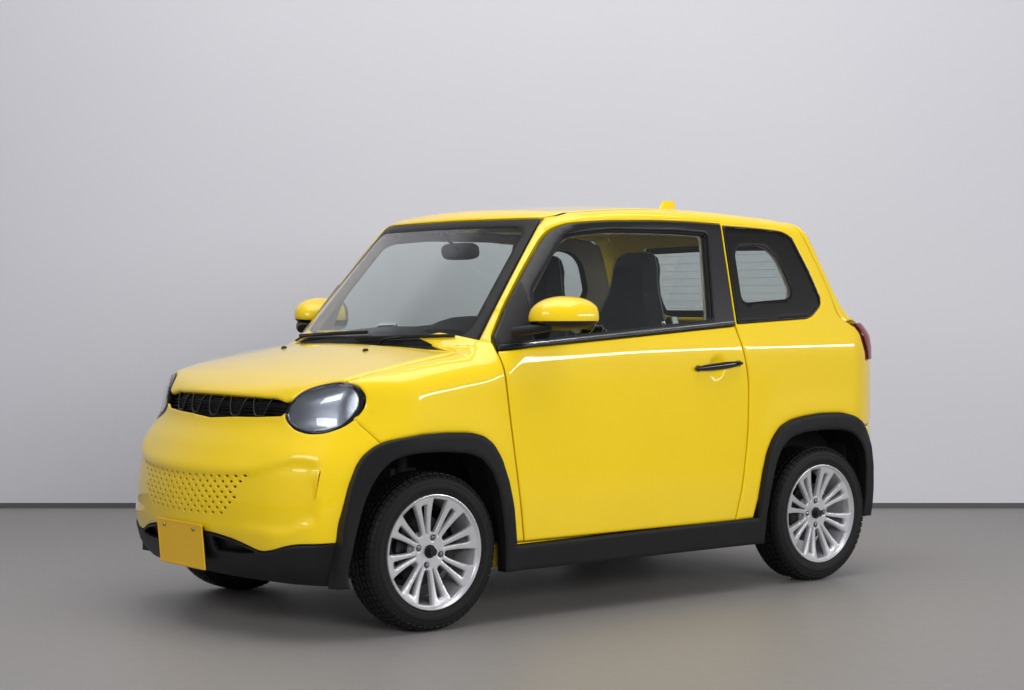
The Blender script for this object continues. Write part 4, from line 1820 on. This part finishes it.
def buildSeats():
    back = cushion("front_seat_back_left", seatBack, 300, up=(1, 0, 0), square=3.2, count=44)
    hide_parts("front_seats")
    twin(back, "front_seat_back_right")
    seat = cushion("front_seat_cushion_left", seatCushion, 300, square=3.4, count=44)
    twin(seat, "front_seat_cushion_right")
    for side in (-1, 1):
        label = "left" if side > 0 else "right"
        box("front_seat_base_" + label, cabinBlack, (-300, side * 300 - 190, 250), (140, side * 300 + 190,
            398), bevel=16, segments=3)
        for rail in (-1, 1):
            middle = side * 300 + rail * 150
            box("seat_rail_%s_%s" % (label, "out" if rail * side > 0 else "in"), chassisBlack,
                (-330, middle - 18, 218), (160, middle + 18, 252), slot="chassis", bevel=3)
        for edge in (-1, 1):
            seam = [(x + 8, side * 300 + edge * (w + 6.5), z) for x, z, w, h in seatBack[2:12]]
            bar("seat_seam_%s_%s" % (label, "out" if edge * side > 0 else "in"), threadGrey,
                resampledOpen(array(seam), 24), 1.6, 1.6, up=(1, 0, 0), count=6)
        fold = [(-352 + 0.02 * dy, side * 300 + dy, 1178 + 0.0011 * dy * dy) for dy in range(-120, 121, 20)]
        bar("seat_fold_" + label, threadGrey, fold, 1.8, 1.8, count=6)
    rows = [(-930, 468, 440, 34), (-915, 468, 478, 50), (-860, 466, 492, 56), (-650, 470, 494, 58),
        (-585, 468, 486, 50), (-562, 464, 455, 32)]
    rear = cushion("rear_seat_cushion", rows, 0, 7.0, square=5, count=56)
    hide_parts("rear_seat")
    rows = [(-940, 500, 450, 30), (-948, 515, 484, 50), (-965, 580, 494, 58), (-1025, 860, 494, 54),
        (-1040, 920, 484, 46), (-1046, 945, 450, 26)]
    cushion("rear_seat_back", rows, 0, 7.0, up=(1, 0, 0), square=5, count=56)
    heads = box("rear_headrest", seatCloth, (-1092, 165, 968), (-1022, 395, 1092), bevel=30, segments=5,
        sides=both, turn=("Y", -10))
    for off in (-50, 50):
        bar("rear_head_post_" + ("in" if off < 0 else "out"), chrome, [(-1048, 280 + off, 930),
            (-1056, 280 + off, 980)], 5, 5, up=(1, 0, 0), sides=both)


def buildCabinMirror():
    place = array((276, 0, 1364))
    rings = [ovalRing(place + array((d, 0, 0)), (0, 1, 0), (0.1, 0, 1), w, h, 40, 3.6)
        for d, w, h in ((-8, 112, 26), (-6, 119, 32), (0, 122, 34), (8, 114, 29), (15, 90, 18))]
    case = loft("cabin_mirror", cabinBlack, rings, smooth=50)
    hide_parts("interior_mirror")
    face = [ovalRing(place + array((d, 0, 0)), (0, 1, 0), (0.1, 0, 1), w, 29, 40, 3.6)
        for d, w in ((-9, 115), (-7, 116))]
    loft("cabin_mirror_glass", mirrorGlass, face)
    bar("cabin_mirror_stalk", cabinBlack, [(288, 0, 1370), (318, 0, 1396), (350, 0, 1424), (376, 0, 1436)],
        [7, 6, 8, 16], [7, 6, 8, 12], up=(0, 1, 0))


def buildFloor():
    for name, material, low, high in (("carpet_front", carpet, (-560, -588, 215.5), (586, 588, 222)),
            ("carpet_load", carpet, (-1440, -504, 400.5), (-562, 504, 408)), ("carpet_riser", carpet,
            (-560, -588, 222), (-553, 588, 404)), ("underseal_front", chassisBlack, (384, -588, 188),
            (590, 588, 194.6)), ("underseal_rear", chassisBlack, (-1440, -504, 380), (-574, 504, 387.6))):
        box(name, material, low, high, bevel=2)
    bolts = [(x, side * 448, 148.5) for x in range(-500, 360, 105) for side in (-1, 1)]
    heads = repeat("battery_bolts", bolts, [(0, 0, 0.3)] * len(bolts), hexHead(8, 5), zincBolt)
    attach(heads, "root")
    ribs = [(x, 0, 147.5) for x in range(-460, 320, 65)]
    pressed = repeat("battery_ribs", ribs, [(0, 0, 0)] * len(ribs), shapeBox((16, 820, 5)), chassisBlack)
    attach(pressed, "root")
    paintNodes(chassisBlack, "battery_pack", "front_subframe", "rear_axle", "steering_column", "bulkhead")
    paintNodes(carpet, "floor_pan")
    paintNodes(motorAlloy, "drive_motor")
    paintNodes(castIron, "knuckle_left", "knuckle_right")


def hexHead(radius, height):
    verts = [(radius * cos(a), radius * sin(a), z) for z in (-height, 0) for a in circle(6)]
    return verts, ringFaces(2, 6)


buildLinings()
buildDash()
buildSteering()
buildSeats()
buildCabinMirror()
buildFloor()
print("cabin made")

# studio, camera and light

camera = {"place": (4.892, 6.07, 1.144), "yaw": -128.81, "pitch": -1.15, "lens": 66.80}
wall = {"away": 10.8, "high": 9.0, "half": 14.0}


def openBehind(material):
    # a face that shows only from its front, so that the wall never stands before the car
    tree = material.node_tree
    surface = tree.nodes["Material Output"].inputs["Surface"]
    behind = addNode(tree, "ShaderNodeNewGeometry").outputs["Backfacing"]
    clear = addNode(tree, "ShaderNodeBsdfTransparent").outputs[0]
    mixed = addNode(tree, "ShaderNodeMixShader", {0: behind, 1: surface.links[0].from_socket, 2: clear})
    tree.links.new(mixed.outputs[0], surface)
    return material


def buildStudio():
    floor = makeMesh("studio_floor", [(-19000, -19000, 0), (19000, -19000, 0), (19000, 19000, 0),
        (-19000, 19000, 0)], [(0, 1, 2, 3)], plainSurface("sealed_concrete", "#8c8987", "#84817f", 0.5,
        size=40, depth=0.1))
    look = Vector((cos(radians(camera["yaw"])), sin(radians(camera["yaw"])), 0))
    across = Vector((-look.y, look.x, 0)) * wall["half"]
    foot = Vector((camera["place"][0], camera["place"][1], 0)) + look * wall["away"]
    plaster = plainSurface("painted_plaster", "#d4d4da", "#cdcdd4", 0.9, size=30, depth=0.05, blotch=2500)
    edging = plainSurface("grey_skirting", "#5c5c60", "#58585c", 0.7)
    for name, material, high, ahead in (("studio_wall", plaster, wall["high"], 0),
            ("studio_skirting", edging, 0.03, 0.02)):
        corners = [tuple((foot + across * s - look * ahead + Vector((0, 0, z))) / mm) for s, z in ((1, 0),
            (-1, 0), (-1, high), (1, high))]
        makeMesh(name, corners, [(0, 1, 2, 3)], openBehind(material))
    data = bpy.data.cameras.new("view")
    data.lens, data.sensor_width = camera["lens"], 36
    data.clip_end = 100
    eye = bpy.data.objects.new("view", data)
    eye.location = camera["place"]
    eye.rotation_euler = (radians(90 + camera["pitch"]), 0, radians(camera["yaw"] - 90))
    scene.collection.objects.link(eye)
    scene.camera = eye
    world = bpy.data.worlds.new("studio")
    world.use_nodes = True
    air = world.node_tree.nodes["Background"].inputs
    air["Color"].default_value, air["Strength"].default_value = colour("#cfced4"), 0.36
    scene.world = world
    for name, place, aim, size, power in lamps:
        light = bpy.data.lights.new(name, "AREA")
        light.shape, light.size, light.size_y, light.energy = "RECTANGLE", size[0], size[1], power
        obj = bpy.data.objects.new(name, light)
        obj.location = place
        way = Vector(aim) - Vector(place)
        obj.rotation_euler = way.to_track_quat("-Z", "Y").to_euler()
        scene.collection.objects.link(obj)
        obj.visible_glossy = name != "side_bank"  # it fills the shade and leaves no mark in the paint
        spared = bpy.data.collections.new(name + "_spares")
        spared.objects.link(bpy.data.objects["screen_pane"])
        obj.light_linking.receiver_collection = spared
        spared.collection_objects[0].light_linking.link_state = "EXCLUDE"


# columns: name, place, aim, width and height, watts
lamps = [
    ("overhead", (0.6, 0.8, 4.8), (0, 0.1, 0.6), (5.5, 3.0), 140),
    ("shoulder_strip", (-3.9, 5.2, 1.84), (0.2, 0.7, 0.9), (4.4, 0.22), 60),
    ("side_bank", (3.0, 8.6, 2.6), (0, 0.8, 0.7), (5.0, 2.4), 430),
    ("front_bank", (6.0, 1.5, 3.2), (1.0, 0, 0.6), (3.0, 1.4), 70),
    ("wall_wash", (-1.0, -1.2, 5.6), (-2.6, -3.2, 1.2), (9.0, 0.8), 66),
]
buildStudio()
scene.view_settings.view_transform = "Standard"
